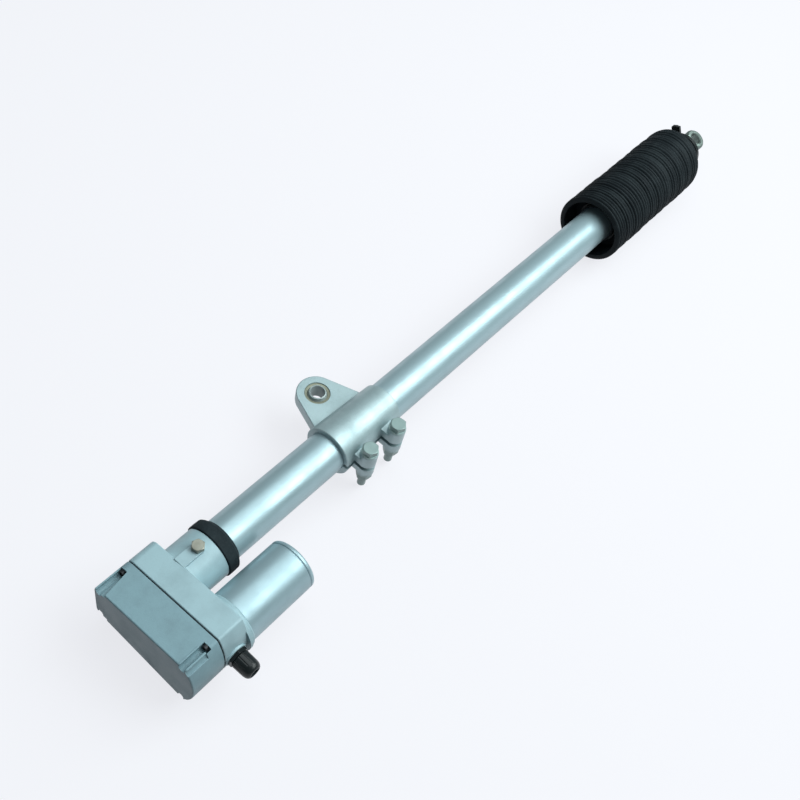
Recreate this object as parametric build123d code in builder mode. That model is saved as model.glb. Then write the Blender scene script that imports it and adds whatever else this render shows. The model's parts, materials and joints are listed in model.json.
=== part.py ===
from build123d import *
import os
from math import acos, cos, pi, radians, sin, tan

os.makedirs("parts", exist_ok=True)

# Row frame, millimetres: +X along the tube towards the rod eye, +Z along the pivot
# ear's pin, -Y on the motor's side. The origin is the centre of the rod eye's pin hole
# with the rod drawn in.

# Overall arrangement along the tube
eye_to_tube_mouth = 95.0  # rod eye's pin to the tube's front end, drawn in
tube_length = 964.0
tube_socket_depth = 22.0  # tube held in the housing's neck
neck_length = 40.0
housing_depth = 31.5
gasket_thickness = 1.5
cover_depth = 41.0
stroke = 610.0

# Clearances
running_gap = 0.06  # radial, bushes and bearings
sliding_gap = 0.1  # radial, clamp on the tube
fit_gap = 0.05  # radial, pieces seated in one another
free_gap = 0.3  # between pieces that only pass each other

# Tubes
tube_radius = 25.0
tube_wall = 2.5
rod_radius = 18.0
rod_wall = 3.0

# Gear housing and cover, an egg-shaped outline that widens to the motor's end
tube_end_y = 39.0
motor_end_y = -99.0
height_at_tube = 31.0  # half the height, over the tube's axis
side_taper = 5.0  # degrees, each flat side to the middle plane
tube_corner_radius = 10.0
ridge_y = -87.0  # where each flat side meets the curved motor end
ridge_radius = 4.0
housing_wall = 3.2
front_wall = 6.0
cover_wall = 3.2
cover_edge_radius = 3.0
housing_edge_radius = 1.5
neck_radius = 30.6

# Cover screws in open channels at the four corners
screw_radius = 2.5
screw_head_radius = 4.3
screw_head_height = 4.0
screw_grip = 20.0  # depth of thread in the housing
screw_post_wall = 2.5
channel_radius = 4.8
channel_inset = 4.0  # channel's middle inside the surface
ridge_to_screw = 3.5
tube_channel_turn = 45.0  # degrees from +Y, where the channel opens
motor_channel_turn = 95.0
ledge_depth = 9.0  # cover left solid under each screw's head

# Locking bolt through the flat pad on the neck
pad_half_width = 7.2
pad_height = 32.2
lock_bolt_setback = 16.0  # behind the neck's front edge
lock_bolt_radius = 4.0
lock_bolt_across_flats = 13.0
lock_bolt_head = 5.3

# Rubber collar over the joint of neck and tube
collar_length = 14.0
collar_radius = 32.3
collar_taper = 4.0

# Gears
pinion_module = 1.0
pinion_teeth = 14
idler_large_teeth = 54
second_module = 1.5
idler_small_teeth = 14
main_teeth = 34
pressure_angle = 20.0
addendum = 0.85  # in modules
dedendum = 1.2  # in modules
backlash = 0.22  # taken off each tooth's thickness
first_stage_width = 8.0
second_stage_width = 12.0
stage_gap = 2.0
gear_clearance = 3.0  # front wall to the first stage

# Idler pin
pin_radius = 4.0
idler_hub_radius = 7.5
pin_boss_radius = 8.0

# Screw and its bearing
screw_shaft_radius = 10.0
screw_seat_radius = 9.0
drive_shaft_radius = 6.0
screw_shoulder_radius = 13.0
screw_shoulder_length = 4.0
screw_tip_margin = 22.0  # screw past the nut, fully out
bearing_radius = 23.5
bearing_width = 14.0
bearing_race = 4.0
retainer_thickness = 2.0
retainer_lip = 4.0
lock_nut_width = 8.0
lock_nut_radius = 14.0
worm_length = 14.0
worm_radius = 8.0
pulse_magnet_radius = 10.0
pulse_magnet_width = 4.0

# Drive nut and rod
nut_length = 50.0
nut_setback = 26.0  # nut's rear face to the tube's rear end, drawn in
nut_radius = 20.0
nut_spigot = 20.0
guide_ring_width = 12.0
rod_end_plug = 20.0
rod_front_margin = 34.0  # rod tube's front end to the eye's pin
shank_radius = 9.5
shank_end = 4.0  # solid left between the shank and the eye's hole
eye_radius = 16.6
eye_bore_radius = 8.5
eye_width = 14.0
eye_roll = 20.0  # degrees, the pin's turn about the tube's axis

# Tube mouth
guide_bush_length = 40.0
wiper_length = 8.0
wiper_inset = 2.0
wiper_lip = 2.5

# Bellows, packed over the tube's front end
bellows_length = 234.0  # rear rim to the front shoulder
bellows_radius = 49.5
bellows_valley = 46.5
bellows_wall = 8.0
bellows_ribs = 40
cuff_wall = 3.0
cuff_length = 16.0
cuff_setback = 2.0  # front cuff behind the rod tube's end
rear_cuff_inset = 18.0
front_shoulder = 20.0
adapter_length = 22.0
tie_width = 6.0
tie_thickness = 1.5
tie_head_width = 8.0
front_tie_head = 14.0
rear_tie_head = 7.0
tie_head_turn = 60.0  # degrees from +Y towards +Z

# Clamp round the tube
clamp_from_neck = 181.4  # neck's front edge to the clamp's rear edge
clamp_length = 96.3
clamp_rear_radius = 31.2
clamp_front_radius = 28.0
clamp_split = 6.0
ear_reach = 60.0
ear_radius = 25.0
ear_thickness = 15.0
ear_base = 80.0
ear_root = 20.0  # the ear's wide end, inside the barrel's wall
ear_offset = 1.5  # ear's middle behind the barrel's middle
lug_reach = 40.5
lug_radius = 10.5
lug_spacing = 48.0
upper_lug_top = 21.0
lower_lug_bottom = -15.0
web_top = 13.0  # web between each lug and the barrel
web_bottom = -12.0
clamp_bolt_radius = 5.0
clamp_bolt_across_flats = 17.0
clamp_bolt_head = 7.0
clamp_bolt_tail = 18.0  # thread past the lower lug
washer_radius = 10.2
washer_thickness = 2.0
clamp_nut_height = 8.4

# Ball bush in the ear
race_radius = 15.4
race_width = 13.0
ball_radius = 13.0
ball_width = 20.0
ball_collar_radius = 10.3
pivot_bore_radius = 8.5

# Motor
motor_radius = 30.4
motor_wall = 1.6
motor_length = 82.5
motor_seat_radius = 32.6
motor_seat_height = 6.0
motor_cap_length = 6.5
motor_cap_edge = 3.5
motor_plate = 3.0
motor_spigot_radius = 12.0
motor_spigot_length = 4.0
motor_shaft_radius = 4.0
motor_bush_radius = 8.0
rotor_radius = 21.5
rotor_length = 46.0
rotor_from_plate = 14.0
magnet_thickness = 6.0
magnet_length = 56.0
magnet_arc = 130.0
commutator_radius = 11.0
commutator_length = 12.0
brush_plate_thickness = 4.0
brush_clearance = 1.0
motor_screw_radius = 2.5
motor_screw_offset = 20.0
motor_screw_head = 3.0

# Cable gland on the motor's end of the housing
gland_setback = 18.0  # behind the housing's front face
gland_boss_radius = 13.0
gland_boss_height = 1.0
gland_across_flats = 21.0
gland_hex_height = 4.0
gland_thread_radius = 8.0
gland_nut_radius = 10.6
gland_nut_length = 21.0
gland_nut_round = 3.0
gland_seal_length = 16.0
cable_radius = 4.0

# Gear plate across the housing, with the limit cam, its switches and the sensor
plate_thickness = 2.0
plate_post_radius = 4.0
plate_post_y = -62.0
plate_post_z = 24.0
plate_screw_radius = 2.0
plate_screw_head = 3.5
plate_bar_depth = 26.0
plate_bar_height = 60.0
plate_stem_height = 30.0
plate_stem_reach = 17.0
cam_wheel_radius = 15.0
cam_wheel_width = 5.0
cam_gap = 0.5  # worm to wheel
cam_radius = 9.0
cam_lobe = 3.0
cam_height = 4.0
cam_level = 6.0  # one cam to the next
cam_pin_radius = 2.0
bracket_drop = 7.0  # wheel's middle to the bracket's top face
switch_length = 20.0
switch_height = 5.6
switch_depth = 10.0
sensor_length = 12.0
terminal_depth = 11.0
terminal_width = 34.0

# Places along the tube's axis, worked out from the rod eye backwards
tube_mouth = -eye_to_tube_mouth
tube_rear = tube_mouth - tube_length
neck_front = tube_rear + tube_socket_depth
housing_front = neck_front - neck_length
gasket_front = housing_front - housing_depth
cover_front = gasket_front - gasket_thickness
cover_rear = cover_front - cover_depth
wall_back = housing_front - front_wall

# Gear centres, in line between the motor and the tube
first_centres = pinion_module * (pinion_teeth + idler_large_teeth) / 2
second_centres = second_module * (idler_small_teeth + main_teeth) / 2
idler_y = -second_centres
motor_y = -(first_centres + second_centres)
first_stage_front = wall_back - gear_clearance
first_stage_rear = first_stage_front - first_stage_width
second_stage_front = first_stage_rear - stage_gap
second_stage_rear = second_stage_front - second_stage_width
plate_front = cover_front
plate_rear = plate_front - plate_thickness

# Bearing in the neck, held by the tube's rear end
bearing_front = tube_rear - retainer_thickness
bearing_rear = bearing_front - bearing_width
inner_race_radius = screw_seat_radius + bearing_race
outer_race_bore = bearing_radius - bearing_race

# Screw, nut and rod
nut_rear = tube_rear + nut_setback
nut_front = nut_rear + nut_length
rod_rear = nut_front - nut_spigot
rod_front = -rod_front_margin
screw_front = nut_front + stroke + screw_tip_margin
tube_bore = tube_radius - tube_wall
rod_bore = rod_radius - rod_wall
cuff_radius = tube_radius + fit_gap
cuff_outer = cuff_radius + cuff_wall

# Bellows
front_cuff_x = rod_front - cuff_length - cuff_setback
shoulder_x = front_cuff_x - front_shoulder
rim_x = shoulder_x - bellows_length
rear_cuff_x = rim_x + rear_cuff_inset
bellows_bore = bellows_radius - bellows_wall

# Clamp and its ear
clamp_rear = neck_front + clamp_from_neck
clamp_front = clamp_rear + clamp_length
ear_x = (clamp_rear + clamp_front) / 2 - ear_offset
ear_side = ear_thickness / 2

# Motor, forwards from its seat on the housing
seat_front = housing_front + motor_seat_height
can_front = seat_front + motor_length
cap_front = can_front + motor_cap_length
rotor_rear = seat_front + motor_plate + rotor_from_plate
rotor_front = rotor_rear + rotor_length
commutator_front = can_front - motor_plate

# Gland, outwards from the housing's end
gland_x = housing_front - gland_setback
boss_y = motor_end_y - gland_boss_height
hex_y = boss_y - gland_hex_height
gland_nut_y = hex_y - free_gap - gland_nut_length

# Limit cam beside the worm, behind the gear plate
cam_y = -(worm_radius + cam_gap + cam_wheel_radius)
cam_x = plate_rear - free_gap - pulse_magnet_width - cam_wheel_radius
bracket_top = -bracket_drop
bracket_y = cam_y - cam_radius - cam_lobe - 2.5 - switch_depth
bracket_rear = cam_x - cam_wheel_radius


def across(x, y=0.0, z=0.0):
    """A plane square to the tube, its own x along +Y and its own y along +Z."""
    return Plane(origin=(x, y, z), x_dir=(0, 1, 0), z_dir=(1, 0, 0))


def bar(x, length, radius, bore=0.0, y=0.0, z=0.0, mode=Mode.ADD):
    """A round bar or tube along X, from x forwards."""
    with BuildSketch(across(x, y, z)) as disc:
        Circle(radius)
        if bore:
            Circle(bore, mode=Mode.SUBTRACT)
    extrude(disc.sketch, amount=length, mode=mode)


def post(places, bottom, top, radius, bore=0.0, mode=Mode.ADD):
    """Round bars along Z at the given places in X and Y."""
    with BuildSketch(Plane.XY.offset(bottom)) as discs:
        with Locations(*places):
            Circle(radius)
            if bore:
                Circle(bore, mode=Mode.SUBTRACT)
    extrude(discs.sketch, amount=top - bottom, mode=mode)


def block(x, y, z, mode=Mode.ADD):
    """A box between the two ends given for each axis."""
    middle = ((x[0] + x[1]) / 2, (y[0] + y[1]) / 2, (z[0] + z[1]) / 2)
    with Locations(middle):
        Box(x[1] - x[0], y[1] - y[0], z[1] - z[0], mode=mode)


def turned(points, y=0.0, mode=Mode.ADD):
    """A profile of x and radius turned about an axis along the tube."""
    with BuildSketch(Plane(origin=(0, y, 0), x_dir=(1, 0, 0), z_dir=(0, -1, 0))) as profile:
        with BuildLine():
            Polyline(*points, close=True)
        make_face()
    revolve(profile.sketch, axis=Axis((0, y, 0), (1, 0, 0)), mode=mode)


def half_height(y):
    """Half the housing's height at a distance y from the tube's axis."""
    return height_at_tube - y * tan(radians(side_taper))


def egg_outline(inset):
    """The housing's outline laid flat: straight sides that open to a curved motor end."""
    with BuildSketch() as outline:
        with BuildLine():
            Polyline(
                (ridge_y, half_height(ridge_y)),
                (tube_end_y, half_height(tube_end_y)),
                (tube_end_y, -half_height(tube_end_y)),
                (ridge_y, -half_height(ridge_y)),
            )
            ThreePointArc(
                (ridge_y, -half_height(ridge_y)),
                (motor_end_y, 0),
                (ridge_y, half_height(ridge_y)),
            )
        make_face()
        ends = outline.vertices().group_by(Axis.X)
        fillet(ends[-1], tube_corner_radius)
        ends = outline.vertices().group_by(Axis.X)
        fillet(ends[0], ridge_radius)
        if inset:
            offset(amount=-inset)
    return outline.sketch


def egg(x, inset=0.0):
    """The housing's outline, or one inside it, stood across the tube at x."""
    with BuildSketch(across(x)) as face:
        add(egg_outline(inset))
    return face.sketch


def screw_places():
    """Each cover screw's y, z and the way its channel opens."""
    corner_y = tube_end_y - tube_corner_radius
    corner_z = half_height(corner_y) - tube_corner_radius / cos(radians(side_taper))
    reach = tube_corner_radius - channel_inset
    y = corner_y + reach * cos(radians(tube_channel_turn))
    z = corner_z + reach * sin(radians(tube_channel_turn))
    places = [(y, z, tube_channel_turn), (y, -z, -tube_channel_turn)]
    y = ridge_y + ridge_to_screw
    z = half_height(y) - channel_inset
    places += [(y, z, motor_channel_turn), (y, -z, -motor_channel_turn)]
    return places


def rounds(x, length, radius, mode=Mode.ADD):
    """A round bar along X at each cover screw."""
    for y, z, turn in screw_places():
        bar(x, length, radius, y=y, z=z, mode=mode)


def posts_within(x, length, radius, inset=0.0):
    """Round bars at the cover screws, trimmed to the housing's outline."""
    with BuildSketch(across(x)) as posts:
        with Locations(*[(y, z) for y, z, turn in screw_places()]):
            Circle(radius)
        add(egg_outline(inset), mode=Mode.INTERSECT)
    extrude(posts.sketch, amount=length)


def gear(x, width, module, teeth, bore, y, first_turn):
    """A spur gear along X with involute teeth; first_turn is one tooth's middle."""
    pitch = module * teeth / 2
    base = pitch * cos(radians(pressure_angle))
    root = pitch - dedendum * module
    tip = pitch + addendum * module
    half_tooth = pi / (2 * teeth) - backlash / (2 * pitch)
    half_tooth += tan(radians(pressure_angle)) - radians(pressure_angle)
    flank = []
    for radius in (root, max(base, root + 0.1), (base + pitch) / 2 + 0.2 * module, pitch + 0.3 * module, tip):
        angle = acos(min(1.0, base / radius))
        flank.append((radius, half_tooth - (tan(angle) - angle)))
    points = []
    for tooth in range(teeth):
        middle = radians(first_turn) + 2 * pi * tooth / teeth
        for radius, half in flank:
            points.append((radius * cos(middle - half), radius * sin(middle - half)))
        for radius, half in reversed(flank):
            points.append((radius * cos(middle + half), radius * sin(middle + half)))
    with BuildSketch(across(x, y)) as blank:
        with BuildLine():
            Polyline(*points, close=True)
        make_face()
        Circle(bore, mode=Mode.SUBTRACT)
    extrude(blank.sketch, amount=width)


def cable_tie(x, head_height):
    """A cable tie round a cuff, its lock standing out on the upper side."""
    bar(x, tie_width, cuff_outer + fit_gap + tie_thickness, bore=cuff_outer + fit_gap)
    with BuildSketch(across(x)) as lock:
        with Locations(Rotation(0, 0, tie_head_turn)):
            with Locations((cuff_outer + tie_thickness / 2 + head_height / 2, 0)):
                Rectangle(head_height, tie_head_width)
    extrude(lock.sketch, amount=tie_width)


# Gear housing: egg-shaped box with the neck, the motor's seat and the gland's boss
with BuildPart() as gear_housing:
    extrude(egg(gasket_front), amount=housing_depth)
    front_edges = gear_housing.edges().group_by(Axis.X)[-1]
    fillet(front_edges, housing_edge_radius)
    extrude(egg(gasket_front, housing_wall), amount=wall_back - gasket_front, mode=Mode.SUBTRACT)
    posts_within(gasket_front, screw_grip + 2, screw_radius + screw_post_wall, inset=1)
    bar(housing_front - 1, neck_length + 1, neck_radius)
    block(
        (housing_front - 1, neck_front - lock_bolt_setback),
        (-pad_half_width, pad_half_width),
        (0, pad_height),
    )
    post([(neck_front - lock_bolt_setback, 0)], 0, pad_height, pad_half_width)
    bar(housing_front - 1, motor_seat_height + 1, motor_seat_radius, y=motor_y)
    bar(wall_back - 2, 3, pin_boss_radius, y=idler_y)
    with BuildSketch(Plane(origin=(gland_x, motor_end_y + 2, 0), x_dir=(1, 0, 0), z_dir=(0, -1, 0))) as boss:
        Circle(gland_boss_radius)
    extrude(boss.sketch, amount=gland_boss_height + 2)
    for side in (-1, 1):
        post_z = side * plate_post_z
        bar(plate_front, wall_back + 1 - plate_front, plate_post_radius, y=plate_post_y, z=post_z)
    bar(tube_rear, tube_socket_depth + 1, tube_radius + fit_gap, mode=Mode.SUBTRACT)
    bar(bearing_rear, bearing_width + retainer_thickness, bearing_radius + fit_gap, mode=Mode.SUBTRACT)
    bar(wall_back - 1, bearing_rear - wall_back + 1, lock_nut_radius + 2, mode=Mode.SUBTRACT)
    lock_bolt_place = [(neck_front - lock_bolt_setback, 0)]
    post(lock_bolt_place, 0, pad_height + 1, lock_bolt_radius + fit_gap, mode=Mode.SUBTRACT)
    seat_depth = front_wall + motor_seat_height + 2
    bar(wall_back - 1, seat_depth, motor_spigot_radius + fit_gap, y=motor_y, mode=Mode.SUBTRACT)
    bar(wall_back - 3, front_wall + 1, pin_radius + fit_gap, y=idler_y, mode=Mode.SUBTRACT)
    rounds(gasket_front, screw_grip, screw_radius + fit_gap, mode=Mode.SUBTRACT)
    for side in (-1, 1):
        screw_z = side * motor_screw_offset
        thread_z = side * plate_post_z
        hole = motor_screw_radius + fit_gap
        bar(wall_back - 1, seat_depth, hole, y=motor_y, z=screw_z, mode=Mode.SUBTRACT)
        hole = plate_screw_radius + fit_gap
        bar(plate_front - 1, 10, hole, y=plate_post_y, z=thread_z, mode=Mode.SUBTRACT)
    with BuildSketch(Plane(origin=(gland_x, motor_end_y + 8, 0), x_dir=(1, 0, 0), z_dir=(0, -1, 0))) as inlet:
        Circle(gland_thread_radius + fit_gap)
    extrude(inlet.sketch, amount=gland_boss_height + 9, mode=Mode.SUBTRACT)
gear_housing.part.label = "gear_housing"
export_step(gear_housing.part, "parts/gear_housing.step")

# Cover with rounded rim and an open channel for each screw
with BuildPart() as gear_cover:
    extrude(egg(cover_rear), amount=cover_depth)
    rear_edges = gear_cover.edges().group_by(Axis.X)[0]
    fillet(rear_edges, cover_edge_radius)
    extrude(egg(cover_rear + cover_wall, cover_wall), amount=cover_depth, mode=Mode.SUBTRACT)
    posts_within(cover_rear + cover_wall / 2, cover_depth - cover_wall / 2, channel_radius + screw_post_wall)
    for y, z, turn in screw_places():
        with BuildSketch(across(cover_rear - 1, y, z)) as channel:
            Circle(channel_radius)
            with Locations(Rotation(0, 0, turn)):
                with Locations((channel_radius, 0)):
                    Rectangle(2 * channel_radius, 2 * channel_radius)
        extrude(channel.sketch, amount=cover_depth - ledge_depth + 1, mode=Mode.SUBTRACT)
    rounds(cover_front - ledge_depth - 1, ledge_depth + 2, screw_radius + fit_gap, mode=Mode.SUBTRACT)
gear_cover.part.label = "gear_cover"
export_step(gear_cover.part, "parts/gear_cover.step")

# Gasket between the housing and the cover
with BuildPart() as cover_gasket:
    with BuildSketch(across(cover_front)) as gasket:
        add(egg_outline(0.4))
        add(egg_outline(housing_wall), mode=Mode.SUBTRACT)
    extrude(gasket.sketch, amount=gasket_thickness)
    posts_within(cover_front, gasket_thickness, screw_radius + screw_post_wall, inset=0.4)
    rounds(cover_front - 1, gasket_thickness + 2, screw_radius + fit_gap, mode=Mode.SUBTRACT)
cover_gasket.part.label = "cover_gasket"
export_step(cover_gasket.part, "parts/cover_gasket.step")

# Cover screws, heads on the channels' ledges
head_rear = cover_front - ledge_depth - screw_head_height
with BuildPart() as cover_screws:
    rounds(head_rear, screw_head_height, screw_head_radius)
    rounds(head_rear, screw_head_height + ledge_depth + gasket_thickness + screw_grip - 1, screw_radius)
    for y, z, turn in screw_places():
        with BuildSketch(across(head_rear, y, z)) as socket:
            RegularPolygon(screw_radius, 6, major_radius=False)
        extrude(socket.sketch, amount=screw_head_height / 2, mode=Mode.SUBTRACT)
cover_screws.part.label = "cover_screws"
export_step(cover_screws.part, "parts/cover_screws.step")

# Locking bolt, its end bearing on the outer tube
with BuildPart() as neck_bolt:
    bolt_x = neck_front - lock_bolt_setback
    post([(bolt_x, 0)], tube_radius + fit_gap, pad_height + 1, lock_bolt_radius)
    with BuildSketch(Plane.XY.offset(pad_height)) as bolt_head:
        with Locations((bolt_x, 0)):
            RegularPolygon(lock_bolt_across_flats / 2, 6, major_radius=False)
    extrude(bolt_head.sketch, amount=lock_bolt_head)
neck_bolt.part.label = "neck_bolt"
export_step(neck_bolt.part, "parts/neck_bolt.step")

# Rubber collar, thinned to the tube at its front
with BuildPart() as tube_collar:
    taper_x = neck_front + collar_length
    turned([
        (neck_front, tube_radius + fit_gap),
        (neck_front, collar_radius),
        (taper_x, collar_radius),
        (taper_x + collar_taper, tube_radius + 1.5),
        (taper_x + collar_taper, tube_radius + fit_gap),
    ])
tube_collar.part.label = "tube_collar"
export_step(tube_collar.part, "parts/tube_collar.step")

# Outer tube
with BuildPart() as outer_tube:
    bar(tube_rear, tube_length, tube_radius, bore=tube_bore)
outer_tube.part.label = "outer_tube"
export_step(outer_tube.part, "parts/outer_tube.step")

# Guide bush and wiper in the tube's mouth
wiper_rear = tube_mouth - wiper_inset - wiper_length
with BuildPart() as front_bush:
    bar(wiper_rear - guide_bush_length, guide_bush_length, tube_bore, bore=rod_radius + running_gap)
front_bush.part.label = "front_bush"
export_step(front_bush.part, "parts/front_bush.step")

with BuildPart() as rod_wiper:
    lip_radius = rod_radius + running_gap
    turned([
        (wiper_rear, tube_bore),
        (wiper_rear + wiper_length, tube_bore),
        (wiper_rear + wiper_length, lip_radius),
        (wiper_rear + wiper_length - wiper_lip, lip_radius),
        (wiper_rear + wiper_length / 2, lip_radius + wiper_lip / 2),
        (wiper_rear, lip_radius + wiper_lip / 2),
    ])
rod_wiper.part.label = "rod_wiper"
export_step(rod_wiper.part, "parts/rod_wiper.step")

# Screw's bearing: outer race, retainer, inner race, balls
with BuildPart() as bearing_outer_race:
    bar(bearing_rear, bearing_width, bearing_radius, bore=outer_race_bore)
bearing_outer_race.part.label = "bearing_outer_race"
export_step(bearing_outer_race.part, "parts/bearing_outer_race.step")

with BuildPart() as bearing_retainer:
    bar(bearing_front, retainer_thickness, bearing_radius, bore=bearing_radius - retainer_lip)
bearing_retainer.part.label = "bearing_retainer"
export_step(bearing_retainer.part, "parts/bearing_retainer.step")

with BuildPart() as bearing_inner_race:
    bar(bearing_rear, bearing_width, inner_race_radius, bore=screw_seat_radius)
bearing_inner_race.part.label = "bearing_inner_race"
export_step(bearing_inner_race.part, "parts/bearing_inner_race.step")

with BuildPart() as bearing_cage:
    cage_inner = inner_race_radius + fit_gap
    cage_outer = outer_race_bore - running_gap
    bar(bearing_rear + 1, bearing_width - 2, cage_outer, bore=cage_inner)
    with BuildSketch(across(bearing_rear + 4)) as gaps:
        with PolarLocations((cage_inner + cage_outer) / 2 + 1, 10):
            Rectangle(cage_outer - cage_inner - 1, 4)
    extrude(gaps.sketch, amount=bearing_width, mode=Mode.SUBTRACT)
bearing_cage.part.label = "bearing_cage"
export_step(bearing_cage.part, "parts/bearing_cage.step")

# Lead screw with its shoulder, bearing seat and slimmer drive end
worm_rear = cam_x - worm_length / 2
with BuildPart() as lead_screw:
    turned([
        (worm_rear, 0),
        (worm_rear, drive_shaft_radius),
        (wall_back, drive_shaft_radius),
        (wall_back, screw_seat_radius),
        (bearing_front, screw_seat_radius),
        (bearing_front, screw_shoulder_radius),
        (bearing_front + screw_shoulder_length, screw_shoulder_radius),
        (bearing_front + screw_shoulder_length, screw_shaft_radius),
        (screw_front, screw_shaft_radius),
        (screw_front, 0),
    ])
lead_screw.part.label = "lead_screw"
export_step(lead_screw.part, "parts/lead_screw.step")

with BuildPart() as screw_lock_nut:
    bar(wall_back, lock_nut_width, lock_nut_radius, bore=screw_seat_radius)
    with BuildSketch(across(wall_back - 1)) as spanner_slots:
        with PolarLocations(lock_nut_radius, 4):
            Rectangle(4, 4)
    extrude(spanner_slots.sketch, amount=lock_nut_width + 2, mode=Mode.SUBTRACT)
screw_lock_nut.part.label = "screw_lock_nut"
export_step(screw_lock_nut.part, "parts/screw_lock_nut.step")

# Gear train: motor pinion, two-stage idler on its pin, main gear on the screw
with BuildPart() as motor_pinion:
    gear(
        first_stage_rear - 1, first_stage_width + 2, pinion_module, pinion_teeth,
        motor_shaft_radius, motor_y, 180 / pinion_teeth,
    )
motor_pinion.part.label = "motor_pinion"
export_step(motor_pinion.part, "parts/motor_pinion.step")

with BuildPart() as idler_gear:
    idler_bore = pin_radius + running_gap
    gear(
        first_stage_rear, first_stage_width, pinion_module, idler_large_teeth,
        idler_bore, idler_y, 180,
    )
    gear(
        second_stage_rear, first_stage_rear - second_stage_rear, second_module, idler_small_teeth,
        idler_bore, idler_y, 180 / idler_small_teeth,
    )
    hub_rear = plate_front + free_gap
    hub_length = first_stage_front + 0.7 - hub_rear
    bar(hub_rear, hub_length, idler_hub_radius, bore=idler_bore, y=idler_y)
idler_gear.part.label = "idler_gear"
export_step(idler_gear.part, "parts/idler_gear.step")

with BuildPart() as idler_pin:
    bar(plate_rear, wall_back + 4 - plate_rear, pin_radius, y=idler_y)
idler_pin.part.label = "idler_pin"
export_step(idler_pin.part, "parts/idler_pin.step")

with BuildPart() as screw_gear:
    gear(
        second_stage_rear, second_stage_width, second_module, main_teeth,
        drive_shaft_radius + fit_gap, 0, 180,
    )
screw_gear.part.label = "screw_gear"
export_step(screw_gear.part, "parts/screw_gear.step")

# Gear plate on its two posts, holding the idler pin's rear end
with BuildPart() as gear_plate:
    with BuildSketch(across(plate_rear)) as plate:
        bar_end = plate_post_y - plate_bar_depth / 3 + plate_bar_depth
        stem_length = plate_stem_reach - bar_end + plate_bar_depth / 4
        with Locations((bar_end - plate_bar_depth / 2, 0)):
            Rectangle(plate_bar_depth, plate_bar_height)
        with Locations((plate_stem_reach - stem_length / 2, 0)):
            Rectangle(stem_length, plate_stem_height)
        Circle(drive_shaft_radius + 3, mode=Mode.SUBTRACT)
        with Locations((idler_y, 0)):
            Circle(pin_radius + fit_gap, mode=Mode.SUBTRACT)
        with Locations((plate_post_y, plate_post_z), (plate_post_y, -plate_post_z)):
            Circle(plate_screw_radius + fit_gap, mode=Mode.SUBTRACT)
    extrude(plate.sketch, amount=plate_thickness)
gear_plate.part.label = "gear_plate"
export_step(gear_plate.part, "parts/gear_plate.step")

with BuildPart() as plate_screws:
    for side in (-1, 1):
        bar(plate_rear - 2, 2, plate_screw_head, y=plate_post_y, z=side * plate_post_z)
        bar(plate_rear - 2, 10, plate_screw_radius, y=plate_post_y, z=side * plate_post_z)
plate_screws.part.label = "plate_screws"
export_step(plate_screws.part, "parts/plate_screws.step")

# Limit cam: worm and wheel, two cams, bracket with the switches
with BuildPart() as cam_worm:
    bar(worm_rear, worm_length, worm_radius, bore=drive_shaft_radius + fit_gap)
cam_worm.part.label = "cam_worm"
export_step(cam_worm.part, "parts/cam_worm.step")

with BuildPart() as pulse_magnet:
    magnet_rear = plate_rear - free_gap - pulse_magnet_width
    bar(magnet_rear, pulse_magnet_width, pulse_magnet_radius, bore=drive_shaft_radius + fit_gap)
pulse_magnet.part.label = "pulse_magnet"
export_step(pulse_magnet.part, "parts/pulse_magnet.step")

cam_place = [(cam_x, cam_y)]
wheel_side = cam_wheel_width / 2
with BuildPart() as cam_wheel:
    post(cam_place, bracket_top + free_gap, wheel_side, cam_pin_radius + 2, bore=cam_pin_radius + running_gap)
    post(cam_place, -wheel_side, wheel_side, cam_wheel_radius, bore=cam_pin_radius + running_gap)
cam_wheel.part.label = "cam_wheel"
export_step(cam_wheel.part, "parts/cam_wheel.step")

with BuildPart() as limit_cams:
    cam_bore = cam_pin_radius + running_gap
    post(cam_place, wheel_side, wheel_side + cam_height, cam_radius, bore=cam_bore)
    post(cam_place, wheel_side + cam_height, wheel_side + cam_level, cam_radius / 2, bore=cam_bore)
    post(cam_place, wheel_side + cam_level, wheel_side + cam_level + cam_height, cam_radius, bore=cam_bore)
    for level, turn in ((0, 0), (cam_level, 150)):
        with BuildSketch(Plane.XY.offset(wheel_side + level)) as lobe:
            with Locations(Location((cam_x, cam_y, 0), (0, 0, turn))):
                with Locations((cam_radius, 0)):
                    Circle(cam_lobe)
        extrude(lobe.sketch, amount=cam_height)
limit_cams.part.label = "limit_cams"
export_step(limit_cams.part, "parts/limit_cams.step")

switch_bottom = wheel_side + free_gap
wall_top = switch_bottom + 2 * switch_height + 2 * free_gap
with BuildPart() as switch_bracket:
    block(
        (bracket_rear, plate_rear),
        (bracket_y - plate_thickness, cam_y + 8),
        (bracket_top - plate_thickness, bracket_top),
    )
    block(
        (bracket_rear, plate_rear - 2),
        (bracket_y - plate_thickness, bracket_y),
        (bracket_top - 1, wall_top),
    )
    block(
        (plate_rear - plate_thickness, plate_rear),
        (bracket_y - plate_thickness, cam_y + 8),
        (bracket_top - 7, bracket_top),
    )
    post(cam_place, bracket_top - 1, wheel_side + cam_level + cam_height + 1, cam_pin_radius)
switch_bracket.part.label = "switch_bracket"
export_step(switch_bracket.part, "parts/switch_bracket.step")

with BuildPart() as limit_switches:
    for level in (0, switch_height + free_gap):
        bottom = switch_bottom + level
        block(
            (cam_x - switch_length / 2, cam_x + switch_length / 2),
            (bracket_y, bracket_y + switch_depth),
            (bottom, bottom + switch_height),
        )
limit_switches.part.label = "limit_switches"
export_step(limit_switches.part, "parts/limit_switches.step")

with BuildPart() as reed_sensor:
    block(
        (plate_rear - sensor_length, plate_rear),
        (-3, 3),
        (pulse_magnet_radius + 1, pulse_magnet_radius + 5),
    )
reed_sensor.part.label = "reed_sensor"
export_step(reed_sensor.part, "parts/reed_sensor.step")

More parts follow.
